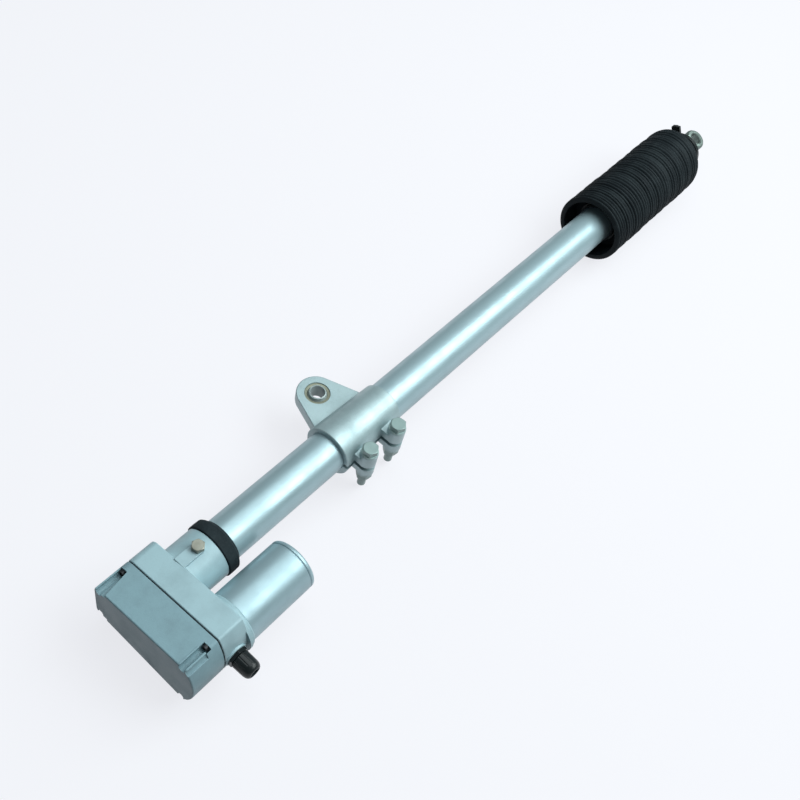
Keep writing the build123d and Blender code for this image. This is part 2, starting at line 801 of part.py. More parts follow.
with BuildPart() as terminal_block:
    terminal_y = plate_post_y - 5
    block(
        (plate_rear - terminal_depth, plate_rear),
        (terminal_y, terminal_y + 10),
        (-terminal_width / 2, terminal_width / 2),
    )
terminal_block.part.label = "terminal_block"
export_step(terminal_block.part, "parts/terminal_block.step")

# Drive nut with its guide ring, inner tube and rod eye
ring_groove = nut_radius - 1.5
ring_rear = nut_rear + 3
with BuildPart() as drive_nut:
    bore_radius = screw_shaft_radius + free_gap
    turned([
        (nut_rear, bore_radius),
        (nut_rear, nut_radius),
        (ring_rear, nut_radius),
        (ring_rear, ring_groove),
        (ring_rear + guide_ring_width, ring_groove),
        (ring_rear + guide_ring_width, nut_radius),
        (rod_rear, nut_radius),
        (rod_rear, rod_bore),
        (nut_front, rod_bore),
        (nut_front, bore_radius),
    ])
drive_nut.part.label = "drive_nut"
export_step(drive_nut.part, "parts/drive_nut.step")

with BuildPart() as nut_guide_ring:
    bar(ring_rear, guide_ring_width, tube_bore - running_gap, bore=ring_groove + fit_gap)
nut_guide_ring.part.label = "nut_guide_ring"
export_step(nut_guide_ring.part, "parts/nut_guide_ring.step")

with BuildPart() as inner_tube:
    bar(rod_rear, rod_front - rod_rear, rod_radius, bore=rod_bore)
inner_tube.part.label = "inner_tube"
export_step(inner_tube.part, "parts/inner_tube.step")

with BuildPart() as rod_eye:
    bar(rod_front - rod_end_plug, rod_end_plug + 1, rod_bore)
    bar(rod_front, 3, rod_radius)
    bar(rod_front, rod_front_margin - eye_bore_radius - shank_end, shank_radius)
    eye_plane = Plane.XY.rotated((eye_roll, 0, 0))
    with BuildSketch(eye_plane.offset(-eye_width / 2)) as ring:
        Circle(eye_radius)
    extrude(ring.sketch, amount=eye_width)
    with BuildSketch(eye_plane.offset(-eye_width)) as hole:
        Circle(eye_bore_radius)
    extrude(hole.sketch, amount=2 * eye_width, mode=Mode.SUBTRACT)
rod_eye.part.label = "rod_eye"
export_step(rod_eye.part, "parts/rod_eye.step")

with BuildPart() as bellows_adapter:
    bar(rod_front - adapter_length, adapter_length, tube_radius, bore=rod_radius + fit_gap)
bellows_adapter.part.label = "bellows_adapter"
export_step(bellows_adapter.part, "parts/bellows_adapter.step")

# Bellows: ribbed wall, cuff tucked into the rear, shoulder and cuff in front
with BuildPart() as bellows:
    pitch = bellows_length / bellows_ribs
    outline = [(rim_x, bellows_bore), (rim_x, bellows_valley)]
    for rib in range(bellows_ribs):
        outline += [
            (rim_x + (rib + 0.5) * pitch, bellows_radius),
            (rim_x + (rib + 1) * pitch, bellows_valley),
        ]
    outline += [
        (front_cuff_x, cuff_outer),
        (front_cuff_x + cuff_length, cuff_outer),
        (front_cuff_x + cuff_length, cuff_radius),
        (front_cuff_x, cuff_radius),
        (shoulder_x, bellows_bore),
        (rear_cuff_x + cuff_length + cuff_wall, bellows_bore),
        (rear_cuff_x + cuff_length + cuff_wall, cuff_radius),
        (rear_cuff_x, cuff_radius),
        (rear_cuff_x, cuff_outer),
        (rear_cuff_x + cuff_length, cuff_outer),
        (rear_cuff_x + cuff_length, bellows_bore),
    ]
    turned(outline)
bellows.part.label = "bellows"
export_step(bellows.part, "parts/bellows.step")

with BuildPart() as rear_bellows_tie:
    cable_tie(rear_cuff_x + (cuff_length - tie_width) / 2, rear_tie_head)
rear_bellows_tie.part.label = "rear_bellows_tie"
export_step(rear_bellows_tie.part, "parts/rear_bellows_tie.step")

with BuildPart() as front_bellows_tie:
    cable_tie(front_cuff_x + cuff_length - tie_width - 2, front_tie_head)
front_bellows_tie.part.label = "front_bellows_tie"
export_step(front_bellows_tie.part, "parts/front_bellows_tie.step")

# Clamp casting: split barrel, pivot ear, a pair of lugs for each bolt
lug_places = [(ear_x - lug_spacing / 2, -lug_reach), (ear_x + lug_spacing / 2, -lug_reach)]
with BuildPart() as tube_clamp:
    turned([
        (clamp_rear, tube_radius - 2),
        (clamp_rear, clamp_rear_radius),
        (clamp_front, clamp_front_radius),
        (clamp_front, tube_radius - 2),
    ])
    with BuildSketch(Plane.XY.offset(-ear_side)) as ear:
        with Locations((ear_x, ear_reach)):
            Circle(ear_radius)
        with Locations((ear_x, ear_root)):
            Rectangle(ear_base, ear_thickness / 2)
        make_hull()
    extrude(ear.sketch, amount=ear_thickness)
    for x, y in lug_places:
        post([(x, y)], lower_lug_bottom, upper_lug_top, lug_radius)
        block(
            (x - lug_radius, x + lug_radius),
            (y, 0),
            (web_bottom, web_top),
        )
    bar(clamp_rear - 1, clamp_length + 2, tube_radius + sliding_gap, mode=Mode.SUBTRACT)
    block(
        (clamp_rear - 1, clamp_front + 1),
        (-lug_reach - lug_radius - 1, 0),
        (-clamp_split / 2, clamp_split / 2),
        mode=Mode.SUBTRACT,
    )
    post(lug_places, lower_lug_bottom - 1, upper_lug_top + 1, clamp_bolt_radius + 0.2, mode=Mode.SUBTRACT)
    post([(ear_x, ear_reach)], -ear_thickness, ear_thickness, race_radius, mode=Mode.SUBTRACT)
tube_clamp.part.label = "tube_clamp"
export_step(tube_clamp.part, "parts/tube_clamp.step")

upper_seat = upper_lug_top + washer_thickness
lower_seat = lower_lug_bottom - washer_thickness
with BuildPart() as clamp_bolts:
    post(lug_places, lower_lug_bottom - clamp_bolt_tail - 11, upper_seat + 1, clamp_bolt_radius)
    with BuildSketch(Plane.XY.offset(upper_seat)) as bolt_heads:
        with Locations(*lug_places):
            RegularPolygon(clamp_bolt_across_flats / 2, 6, major_radius=False)
    extrude(bolt_heads.sketch, amount=clamp_bolt_head)
clamp_bolts.part.label = "clamp_bolts"
export_step(clamp_bolts.part, "parts/clamp_bolts.step")

with BuildPart() as clamp_washers:
    bolt_hole = clamp_bolt_radius
    post(lug_places, upper_lug_top, upper_seat, washer_radius, bore=bolt_hole)
    post(lug_places, lower_seat, lower_lug_bottom, washer_radius, bore=bolt_hole)
clamp_washers.part.label = "clamp_washers"
export_step(clamp_washers.part, "parts/clamp_washers.step")

with BuildPart() as clamp_nuts:
    with BuildSketch(Plane.XY.offset(lower_seat - clamp_nut_height)) as nuts:
        with Locations(*lug_places):
            RegularPolygon(clamp_bolt_across_flats / 2, 6, major_radius=False)
            Circle(clamp_bolt_radius + fit_gap, mode=Mode.SUBTRACT)
    extrude(nuts.sketch, amount=clamp_nut_height)
clamp_nuts.part.label = "clamp_nuts"
export_step(clamp_nuts.part, "parts/clamp_nuts.step")

# Ball bush in the ear: race pressed in, ball free to swivel
with BuildPart() as ear_race:
    post([(ear_x, ear_reach)], -race_width / 2, race_width / 2, race_radius)
    with Locations((ear_x, ear_reach, 0)):
        Sphere(ball_radius + running_gap, mode=Mode.SUBTRACT)
ear_race.part.label = "ear_race"
export_step(ear_race.part, "parts/ear_race.step")

with BuildPart() as ear_ball:
    with Locations((ear_x, ear_reach, 0)):
        Sphere(ball_radius)
    post([(ear_x, ear_reach)], -ball_width / 2, ball_width / 2, ball_collar_radius)
    with Locations((ear_x, ear_reach, 0)):
        Box(4 * ball_radius, 4 * ball_radius, ball_width, mode=Mode.INTERSECT)
    post([(ear_x, ear_reach)], -ball_width, ball_width, pivot_bore_radius, mode=Mode.SUBTRACT)
ear_ball.part.label = "ear_ball"
export_step(ear_ball.part, "parts/ear_ball.step")

# Motor: can with its mounting plate, end cap, magnets, brushes and rotor
shaft_hole = motor_shaft_radius + running_gap
cap_inner = can_front + motor_cap_length - 2.5
with BuildPart() as motor_can:
    turned([
        (seat_front, shaft_hole),
        (seat_front - motor_spigot_length, shaft_hole),
        (seat_front - motor_spigot_length, motor_spigot_radius),
        (seat_front, motor_spigot_radius),
        (seat_front, motor_radius),
        (can_front, motor_radius),
        (can_front, motor_radius - motor_wall),
        (seat_front + motor_plate, motor_radius - motor_wall),
        (seat_front + motor_plate, shaft_hole),
    ], y=motor_y)
    for side in (-1, 1):
        hole = motor_screw_radius + fit_gap
        screw_z = side * motor_screw_offset
        bar(seat_front - 1, motor_plate + 2, hole, y=motor_y, z=screw_z, mode=Mode.SUBTRACT)
motor_can.part.label = "motor_can"
export_step(motor_can.part, "parts/motor_can.step")

with BuildPart() as motor_end_cap:
    turned([
        (can_front, motor_radius),
        (cap_front, motor_radius),
        (cap_front, 0),
        (cap_inner, 0),
        (cap_inner, shaft_hole),
        (can_front, shaft_hole),
        (can_front, motor_bush_radius),
        (cap_inner, motor_bush_radius),
        (cap_inner, motor_radius - motor_wall),
        (can_front, motor_radius - motor_wall),
    ], y=motor_y)
    rim = motor_end_cap.edges().group_by(Axis.X)[-1]
    fillet(rim, motor_cap_edge)
motor_end_cap.part.label = "motor_end_cap"
export_step(motor_end_cap.part, "parts/motor_end_cap.step")

with BuildPart() as motor_magnets:
    magnet_rear = rotor_rear - (magnet_length - rotor_length) / 2
    can_bore = motor_radius - motor_wall
    bar(magnet_rear, magnet_length, can_bore, bore=can_bore - magnet_thickness, y=motor_y)
    with BuildSketch(across(magnet_rear - 1, motor_y)) as spaces:
        with PolarLocations(motor_radius, 2, start_angle=0):
            Rectangle(motor_radius * 2, motor_radius * (180 - magnet_arc) / 57)
    extrude(spaces.sketch, amount=magnet_length + 2, mode=Mode.SUBTRACT)
motor_magnets.part.label = "motor_magnets"
export_step(motor_magnets.part, "parts/motor_magnets.step")

with BuildPart() as brush_plate:
    brush_rear = can_front - motor_plate - brush_plate_thickness
    bar(
        brush_rear, brush_plate_thickness, motor_radius - motor_wall - fit_gap,
        bore=commutator_radius + brush_clearance, y=motor_y,
    )
    for side in (-1, 1):
        block(
            (brush_rear - 5, brush_rear + 1),
            (motor_y - 3, motor_y + 3),
            sorted((side * (commutator_radius + free_gap), side * (commutator_radius + 10))),
        )
brush_plate.part.label = "brush_plate"
export_step(brush_plate.part, "parts/brush_plate.step")

with BuildPart() as motor_screws:
    head_rear = wall_back - motor_screw_head
    shank = motor_screw_head + front_wall + motor_seat_height + motor_plate - 0.5
    for side in (-1, 1):
        screw_z = side * motor_screw_offset
        bar(head_rear, motor_screw_head, screw_head_radius, y=motor_y, z=screw_z)
        bar(head_rear, shank, motor_screw_radius, y=motor_y, z=screw_z)
motor_screws.part.label = "motor_screws"
export_step(motor_screws.part, "parts/motor_screws.step")

with BuildPart() as motor_shaft:
    bar(first_stage_rear - 1, cap_inner - 0.5 - first_stage_rear + 1, motor_shaft_radius, y=motor_y)
motor_shaft.part.label = "motor_shaft"
export_step(motor_shaft.part, "parts/motor_shaft.step")

with BuildPart() as rotor_core:
    bar(rotor_rear, rotor_length, rotor_radius, bore=motor_shaft_radius + fit_gap, y=motor_y)
    with BuildSketch(across(rotor_rear - 1, motor_y)) as slots:
        with PolarLocations(rotor_radius - 4, 10):
            Rectangle(9, 3)
    extrude(slots.sketch, amount=rotor_length + 2, mode=Mode.SUBTRACT)
rotor_core.part.label = "rotor_core"
export_step(rotor_core.part, "parts/rotor_core.step")

with BuildPart() as commutator:
    bar(
        commutator_front - commutator_length, commutator_length, commutator_radius,
        bore=motor_shaft_radius, y=motor_y,
    )
commutator.part.label = "commutator"
export_step(commutator.part, "parts/commutator.step")

# Cable gland: body screwed into the housing's end, dome nut, seal
def gland_plane(y):
    """A plane square to the gland, facing outwards."""
    return Plane(origin=(gland_x, y, 0), x_dir=(1, 0, 0), z_dir=(0, -1, 0))


with BuildPart() as gland_body:
    with BuildSketch(gland_plane(boss_y)) as flange:
        RegularPolygon(gland_across_flats / 2, 6, major_radius=False)
        Circle(cable_radius + 2, mode=Mode.SUBTRACT)
    extrude(flange.sketch, amount=gland_hex_height)
    thread_start = motor_end_y + housing_wall + 4
    with BuildSketch(gland_plane(thread_start)) as thread:
        Circle(gland_thread_radius)
        Circle(cable_radius + 2, mode=Mode.SUBTRACT)
    extrude(thread.sketch, amount=thread_start - gland_nut_y - gland_nut_length / 2)
gland_body.part.label = "gland_body"
export_step(gland_body.part, "parts/gland_body.step")

with BuildPart() as gland_nut:
    with BuildSketch(gland_plane(gland_nut_y + gland_nut_length)) as nut_outline:
        Circle(gland_nut_radius)
    extrude(nut_outline.sketch, amount=gland_nut_length)
    dome = gland_nut.edges().group_by(Axis.Y)[0]
    fillet(dome, gland_nut_round)
    with BuildSketch(gland_plane(gland_nut_y + gland_nut_length)) as nut_thread:
        Circle(gland_thread_radius)
    extrude(nut_thread.sketch, amount=gland_nut_length - 3, mode=Mode.SUBTRACT)
    with BuildSketch(gland_plane(gland_nut_y + gland_nut_length)) as nut_mouth:
        Circle(cable_radius + 2)
    extrude(nut_mouth.sketch, amount=gland_nut_length + 1, mode=Mode.SUBTRACT)
gland_nut.part.label = "gland_nut"
export_step(gland_nut.part, "parts/gland_nut.step")

with BuildPart() as gland_seal:
    with BuildSketch(gland_plane(gland_nut_y + gland_seal_length)) as seal:
        Circle(cable_radius + 2)
        Circle(cable_radius, mode=Mode.SUBTRACT)
    extrude(seal.sketch, amount=gland_seal_length)
gland_seal.part.label = "gland_seal"
export_step(gland_seal.part, "parts/gland_seal.step")
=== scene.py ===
import json
import logging
from dataclasses import dataclass, field
from enum import Enum
from math import atan2, cos, hypot, pi, radians, sin

import bpy
from mathutils import Matrix, Vector

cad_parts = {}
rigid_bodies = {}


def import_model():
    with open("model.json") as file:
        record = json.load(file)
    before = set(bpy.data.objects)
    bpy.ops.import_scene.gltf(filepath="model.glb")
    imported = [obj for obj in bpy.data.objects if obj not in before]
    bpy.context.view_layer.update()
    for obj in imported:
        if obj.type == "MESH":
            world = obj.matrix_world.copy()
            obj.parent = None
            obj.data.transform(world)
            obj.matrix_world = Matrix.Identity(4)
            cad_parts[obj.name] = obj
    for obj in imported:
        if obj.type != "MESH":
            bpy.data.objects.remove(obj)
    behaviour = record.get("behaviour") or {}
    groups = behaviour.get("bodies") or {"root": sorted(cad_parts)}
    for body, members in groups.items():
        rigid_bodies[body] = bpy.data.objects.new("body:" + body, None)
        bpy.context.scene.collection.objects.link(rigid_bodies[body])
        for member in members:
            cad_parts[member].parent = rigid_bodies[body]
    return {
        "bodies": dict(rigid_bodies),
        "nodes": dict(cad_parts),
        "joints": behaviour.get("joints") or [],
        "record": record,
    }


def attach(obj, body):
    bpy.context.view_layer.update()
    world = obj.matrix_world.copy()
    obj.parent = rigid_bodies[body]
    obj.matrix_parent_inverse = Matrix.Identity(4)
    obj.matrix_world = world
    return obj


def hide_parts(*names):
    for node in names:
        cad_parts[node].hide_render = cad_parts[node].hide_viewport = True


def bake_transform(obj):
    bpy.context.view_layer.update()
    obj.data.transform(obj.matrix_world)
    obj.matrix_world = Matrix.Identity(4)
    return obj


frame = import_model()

logging.basicConfig(level=logging.INFO, format="%(message)s")
log = logging.getLogger("actuator")

MM = 0.001
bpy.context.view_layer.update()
COAT_ROUGHNESS = 0.27
STAIN_SCALE = 38.0
BUMP_STRENGTH = 0.8
TURNED_STRETCH = 6.0
SMOOTHER, ROUGHER = 0.05, 0.09
CIRCLE_TIP = 0.004


class Axis(Enum):
    """The way a turned piece's own axis points in the row frame."""

    TUBE = Matrix(((0, 0, 1, 0), (1, 0, 0, 0), (0, 1, 0, 0), (0, 0, 0, 1)))
    UP = Matrix.Identity(4)
    OUTWARDS = Matrix.Rotation(radians(90), 4, "X")
    EYE = Matrix.Rotation(radians(20), 4, "X")


class Grain(Enum):
    """The pattern that a finish's surface carries."""

    CAST = "cast"
    PAINTED = "painted"
    TURNED = "turned"
    RUBBER = "rubber"


# Finishes

@dataclass(frozen=True)
class Finish:
    """One surface finish, built once as a node material.

    Attributes:
        name: the material's name.
        colour: linear base colour.
        dark: linear colour of the mottling and of the dirt in it.
        roughness: the shader's roughness where the surface is clean.
        metallic: the shader's metallic value.
        grain: the pattern of the bump.
        scale: how many grains there are to a metre.
        bump: height of the grain, in millimetres.
        mottle: how much of the dark colour shows, 0 to 1.
        coat: weight of a clear coat.
        shine: the shader's specular level.
    """

    name: str
    colour: tuple[float, float, float]
    dark: tuple[float, float, float]
    roughness: float
    metallic: float
    grain: Grain
    scale: float
    bump: float
    mottle: float
    coat: float = 0.0
    shine: float = 0.5

    def material(self) -> bpy.types.Material:
        """Builds the finish's material, or finds it if it is built.

        Returns:
            The node material.
        """
        if self.name in bpy.data.materials:
            return bpy.data.materials[self.name]
        material = bpy.data.materials.new(self.name)
        material.use_nodes = True
        nodes, links = material.node_tree.nodes, material.node_tree.links
        shader = nodes["Principled BSDF"]
        shader.inputs["Metallic"].default_value = self.metallic
        shader.inputs["Coat Weight"].default_value = self.coat
        shader.inputs["Coat Roughness"].default_value = COAT_ROUGHNESS
        shader.inputs["Specular IOR Level"].default_value = self.shine
        place = nodes.new("ShaderNodeTexCoord").outputs["Object"]
        stretch = nodes.new("ShaderNodeMapping")
        if self.grain is Grain.TURNED:
            stretch.inputs["Scale"].default_value = (TURNED_STRETCH, 1.0, 1.0)
        links.new(place, stretch.inputs["Vector"])
        fine = self._noise(nodes, self.scale, 6.0)
        links.new(stretch.outputs["Vector"], fine.inputs["Vector"])
        broad = self._noise(nodes, STAIN_SCALE, 4.0)
        links.new(place, broad.inputs["Vector"])
        self._colour(nodes, links, broad, fine, shader)
        self._roughness(nodes, links, broad, shader)
        bump = nodes.new("ShaderNodeBump")
        bump.inputs["Distance"].default_value = self.bump * MM
        bump.inputs["Strength"].default_value = BUMP_STRENGTH
        links.new(fine.outputs["Fac"], bump.inputs["Height"])
        links.new(bump.outputs["Normal"], shader.inputs["Normal"])
        return material

    @staticmethod
    def _noise(nodes: bpy.types.Nodes, scale: float, detail: float) -> bpy.types.Node:
        """Adds a noise texture.

        Args:
            nodes: the material's nodes.
            scale: grains to a metre.
            detail: octaves of noise.

        Returns:
            The noise node.
        """
        noise = nodes.new("ShaderNodeTexNoise")
        noise.inputs["Scale"].default_value = scale
        noise.inputs["Detail"].default_value = detail
        noise.inputs["Roughness"].default_value = 0.62
        return noise

    @staticmethod
    def _ramp(nodes: bpy.types.Nodes, source: tuple[float, float],
              target: tuple[float, float]) -> bpy.types.Node:
        """Adds a node that maps one range to another.

        Args:
            nodes: the material's nodes.
            source: the range that comes in.
            target: the range that goes out.

        Returns:
            The map range node.
        """
        ramp = nodes.new("ShaderNodeMapRange")
        for name, value in zip(("From Min", "From Max", "To Min", "To Max"), (*source, *target)):
            ramp.inputs[name].default_value = value
        return ramp

    def _colour(self, nodes: bpy.types.Nodes, links: bpy.types.NodeLinks, broad: bpy.types.Node,
                fine: bpy.types.Node, shader: bpy.types.Node) -> None:
        """Mixes the base colour with broad stains and fine flecks.

        Args:
            nodes: the material's nodes.
            links: the material's links.
            broad: the broad noise.
            fine: the fine noise.
            shader: the surface shader.
        """
        last = None
        layers = ((broad, (0.42, 0.78), self.mottle), (fine, (0.5, 0.8), self.mottle * 0.6))
        for noise, source, share in layers:
            ramp = self._ramp(nodes, source, (0.0, share))
            links.new(noise.outputs["Fac"], ramp.inputs["Value"])
            mix = nodes.new("ShaderNodeMix")
            mix.data_type = "RGBA"
            mix.inputs["A"].default_value = (*self.colour, 1.0)
            mix.inputs["B"].default_value = (*self.dark, 1.0)
            links.new(ramp.outputs["Result"], mix.inputs["Factor"])
            if last is not None:
                links.new(last.outputs["Result"], mix.inputs["A"])
            last = mix
        links.new(last.outputs["Result"], shader.inputs["Base Color"])

    def _roughness(self, nodes: bpy.types.Nodes, links: bpy.types.NodeLinks, broad: bpy.types.Node,
                   shader: bpy.types.Node) -> None:
        """Varies the roughness a little with the broad noise.

        Args:
            nodes: the material's nodes.
            links: the material's links.
            broad: the broad noise.
            shader: the surface shader.
        """
        spread = (max(0.05, self.roughness - SMOOTHER), min(1.0, self.roughness + ROUGHER))
        ramp = self._ramp(nodes, (0.3, 0.7), spread)
        links.new(broad.outputs["Fac"], ramp.inputs["Value"])
        links.new(ramp.outputs["Result"], shader.inputs["Roughness"])


CAST_PAINT = Finish("silver_cast_paint", (0.36, 0.525, 0.57), (0.20, 0.28, 0.31), 0.44, 0.06,
                    Grain.CAST, 900.0, 0.10, 0.35, coat=0.12, shine=0.3)
COVER_PAINT = Finish("cover_cast_paint", (0.235, 0.37, 0.415), (0.14, 0.20, 0.23), 0.42, 0.0,
                     Grain.CAST, 800.0, 0.11, 0.4, coat=0.08, shine=0.12)
TUBE_PAINT = Finish("silver_tube_paint", (0.365, 0.505, 0.545), (0.25, 0.345, 0.37), 0.36, 0.42,
                    Grain.PAINTED, 1500.0, 0.02, 0.22)
MOTOR_PAINT = Finish("motor_can_paint", (0.345, 0.485, 0.53), (0.23, 0.33, 0.36), 0.38, 0.42,
                     Grain.PAINTED, 1500.0, 0.03, 0.28)
CLAMP_PAINT = Finish("clamp_sand_cast_paint", (0.39, 0.515, 0.535), (0.18, 0.25, 0.265), 0.42, 0.45,
                     Grain.CAST, 620.0, 0.14, 0.42, coat=0.1)
ZINC = Finish("bright_zinc", (0.245, 0.345, 0.335), (0.11, 0.15, 0.145), 0.34, 0.35,
              Grain.TURNED, 1400.0, 0.02, 0.4)
# Lighter copy of the same zinc for the washers: painted light on their flat faces.
WASHER_ZINC_PAINTED_LIGHT = Finish("washer_zinc_painted_light", (0.40, 0.54, 0.53), (0.18, 0.24, 0.23), 0.34, 0.35,
                     Grain.TURNED, 1400.0, 0.02, 0.4)
# Near-black copy of the zinc for the cover screws: painted shade standing in for the dark pockets that they
# sit in.
SCREW_ZINC_PAINTED_SHADE = Finish("screw_zinc_painted_shade", (0.035, 0.038, 0.042), (0.015, 0.016, 0.018), 0.45, 0.6,
                    Grain.TURNED, 1400.0, 0.02, 0.4)
YELLOW_ZINC = Finish("yellow_zinc_plating", (0.33, 0.34, 0.29), (0.09, 0.075, 0.055), 0.42, 0.6,
                     Grain.TURNED, 1400.0, 0.02, 0.6)
AGED_ZINC = Finish("aged_yellow_zinc", (0.25, 0.27, 0.21), (0.12, 0.10, 0.06), 0.42, 0.6,
                   Grain.TURNED, 1400.0, 0.02, 0.5)
STEEL = Finish("turned_steel", (0.34, 0.41, 0.41), (0.14, 0.18, 0.18), 0.4, 0.2,
               Grain.TURNED, 1800.0, 0.02, 0.35)
EYE_STEEL = Finish("forged_eye_steel", (0.20, 0.255, 0.235), (0.08, 0.11, 0.10), 0.42, 0.7,
                   Grain.CAST, 1100.0, 0.05, 0.45)
GEAR_STEEL = Finish("oiled_gear_steel", (0.17, 0.175, 0.18), (0.07, 0.065, 0.06), 0.3, 0.9,
                    Grain.TURNED, 1600.0, 0.02, 0.4)
CHROME = Finish("hard_chrome", (0.62, 0.64, 0.66), (0.45, 0.47, 0.49), 0.1, 1.0,
                Grain.TURNED, 2200.0, 0.004, 0.15)
BRONZE = Finish("turned_bronze", (0.40, 0.25, 0.09), (0.20, 0.11, 0.04), 0.34, 0.9,
                Grain.TURNED, 1800.0, 0.02, 0.3)
COPPER = Finish("turned_copper", (0.48, 0.19, 0.09), (0.25, 0.09, 0.05), 0.3, 0.95,
                Grain.TURNED, 1800.0, 0.02, 0.3)
BELLOWS_RUBBER = Finish("packed_bellows_rubber", (0.010, 0.015, 0.018), (0.028, 0.038, 0.042), 0.6, 0.0,
                        Grain.RUBBER, 700.0, 0.3, 0.8, shine=0.12)
COLLAR_RUBBER = Finish("collar_rubber", (0.018, 0.026, 0.030), (0.042, 0.058, 0.064), 0.7, 0.0,
                       Grain.RUBBER, 520.0, 0.5, 0.7, shine=0.06)
BLACK_PLASTIC = Finish("moulded_black_plastic", (0.010, 0.014, 0.015), (0.020, 0.026, 0.027), 0.3, 0.0,
                       Grain.PAINTED, 1200.0, 0.03, 0.4, shine=0.3)
PALE_PLASTIC = Finish("moulded_pale_plastic", (0.68, 0.66, 0.58), (0.48, 0.46, 0.40), 0.42, 0.0,
                      Grain.PAINTED, 900.0, 0.02, 0.3)
MAGNET = Finish("ceramic_magnet", (0.035, 0.035, 0.038), (0.06, 0.06, 0.062), 0.55, 0.1,
                Grain.CAST, 1500.0, 0.05, 0.4)

NODE_FINISHES: dict[str, Finish] = {
    "cast_housing": CAST_PAINT, "silver_tube": TUBE_PAINT, "clamp_cast": CLAMP_PAINT,
    "zinc_steel": ZINC, "yellow_zinc": YELLOW_ZINC, "plain_steel": STEEL,
    "gear_steel": GEAR_STEEL, "chromed_rod": CHROME, "bronze": BRONZE, "copper": COPPER,
    "bellows_rubber": COLLAR_RUBBER, "black_plastic": BLACK_PLASTIC,
    "pale_plastic": PALE_PLASTIC, "dark_magnet": MAGNET,
}


# Modelling by hand

class Bench:
    """The workbench: edit-mode modelling that every sub-assembly shares. Sizes are in mm."""

    @staticmethod
    def deselect() -> None:
        """Leaves edit mode and deselects every object."""
        if bpy.context.object and bpy.context.object.mode != "OBJECT":
            bpy.ops.object.mode_set(mode="OBJECT")
        bpy.ops.object.select_all(action="DESELECT")

    @staticmethod
    def pick(piece: bpy.types.Object) -> None:
        """Selects one object and makes it active.

        Args:
            piece: the object.
        """
        Bench.deselect()
        piece.select_set(True)
        bpy.context.view_layer.objects.active = piece

    @staticmethod
    def turn(name: str, stations: list[tuple[float, float]], segments: int = 96,
             closed: bool = False) -> bpy.types.Object:
        """Turns a profile about its own Z by extruding and scaling a ring.

        Args:
            name: the piece's name.
            stations: (height, radius) along the profile; a radius of 0 closes the end.
            segments: faces round the axis.
            closed: True where the last station runs back to the first, as in a tube's wall.

        Returns:
            The new object, still about the origin.
        """
        Bench.deselect()
        height, width = stations[0][0], max(stations[0][1], CIRCLE_TIP)
        bpy.ops.mesh.primitive_circle_add(vertices=segments, radius=width * MM, fill_type="NOTHING",
                                          location=(0, 0, height * MM))
        piece = bpy.context.object
        piece.name = piece.data.name = name
        bpy.ops.object.transform_apply(location=True, rotation=True, scale=True)
        bpy.ops.object.mode_set(mode="EDIT")
        bpy.ops.mesh.select_all(action="SELECT")
        if not closed:
            bpy.ops.mesh.edge_face_add()
        for next_height, radius in stations[1:] + (stations[:1] if closed else []):
            next_width = max(radius, CIRCLE_TIP)
            factor = next_width / width
            bpy.ops.mesh.extrude_edges_move(
                TRANSFORM_OT_translate={"value": (0, 0, (next_height - height) * MM)})
            bpy.ops.transform.resize(value=(factor, factor, 1), center_override=(0, 0, next_height * MM))
            height, width = next_height, next_width
        if not closed:
            bpy.ops.mesh.edge_face_add()
        Bench.tidy_mesh(piece)
        return piece

    @staticmethod
    def tidy_mesh(piece: bpy.types.Object) -> None:
        """Merges doubles, turns the faces outwards and leaves edit mode.

        Args:
            piece: the object that is in edit mode.
        """
        bpy.ops.mesh.select_all(action="SELECT")
        bpy.ops.mesh.remove_doubles(threshold=1e-6)
        bpy.ops.mesh.normals_make_consistent(inside=False)
        bpy.ops.object.mode_set(mode="OBJECT")

    @staticmethod
    def hull(name: str, discs: list[tuple[float, float, float]], bottom: float, top: float,
             segments: int = 64) -> bpy.types.Object:
        """Makes a prism round several discs, with straight sides between them.

        Args:
            name: the piece's name.
            discs: (x, y, radius) of each disc.
            bottom: height of the lower face.
            top: height of the upper face.
            segments: faces round each disc.

        Returns:
            The new object, still about the origin.
        """
        Bench.deselect()
        places = [(x, y, height, radius) for x, y, radius in discs for height in (bottom, top)]
        x, y, height, radius = places[0]
        bpy.ops.mesh.primitive_circle_add(vertices=segments, radius=radius * MM,
                                          location=(x * MM, y * MM, height * MM))
        piece = bpy.context.object
        piece.name = piece.data.name = name
        bpy.ops.object.transform_apply(location=True, rotation=True, scale=True)
        bpy.ops.object.mode_set(mode="EDIT")
        for x, y, height, radius in places[1:]:
            bpy.ops.mesh.primitive_circle_add(vertices=segments, radius=radius * MM,
                                              location=(x * MM, y * MM, height * MM))
        bpy.ops.mesh.select_all(action="SELECT")
        bpy.ops.mesh.convex_hull()
        bpy.ops.mesh.select_all(action="SELECT")
        bpy.ops.mesh.dissolve_limited(angle_limit=radians(0.05))
        Bench.tidy_mesh(piece)
        return piece

    @staticmethod
    def combine(piece: bpy.types.Object, tool: bpy.types.Object, how: str = "DIFFERENCE") -> None:
        """Cuts a tool out of a piece, or fuses it on, and deletes the tool.

        Args:
            piece: the object that keeps the result.
            tool: the object used up.
            how: DIFFERENCE, UNION or INTERSECT.
        """
        Bench.pick(piece)
        change = piece.modifiers.new("combine", "BOOLEAN")
        change.object, change.operation, change.solver = tool, how, "EXACT"
        bpy.ops.object.modifier_apply(modifier=change.name)
        bpy.data.objects.remove(tool)

    @staticmethod
    def soften(piece: bpy.types.Object, width: float, segments: int = 3, angle: float = 35.0) -> None:
        """Rounds a piece's sharp edges.

        Args:
            piece: the object.
            width: the rounding's width in mm.
            segments: faces across it.
            angle: least angle of an edge that is rounded, in degrees.
        """
        Bench.pick(piece)
        edge = piece.modifiers.new("edge", "BEVEL")
        edge.width, edge.segments = width * MM, segments
        edge.limit_method, edge.angle_limit = "ANGLE", radians(angle)
        edge.use_clamp_overlap = True
        edge.miter_outer = "MITER_ARC"
        bpy.ops.object.modifier_apply(modifier=edge.name)

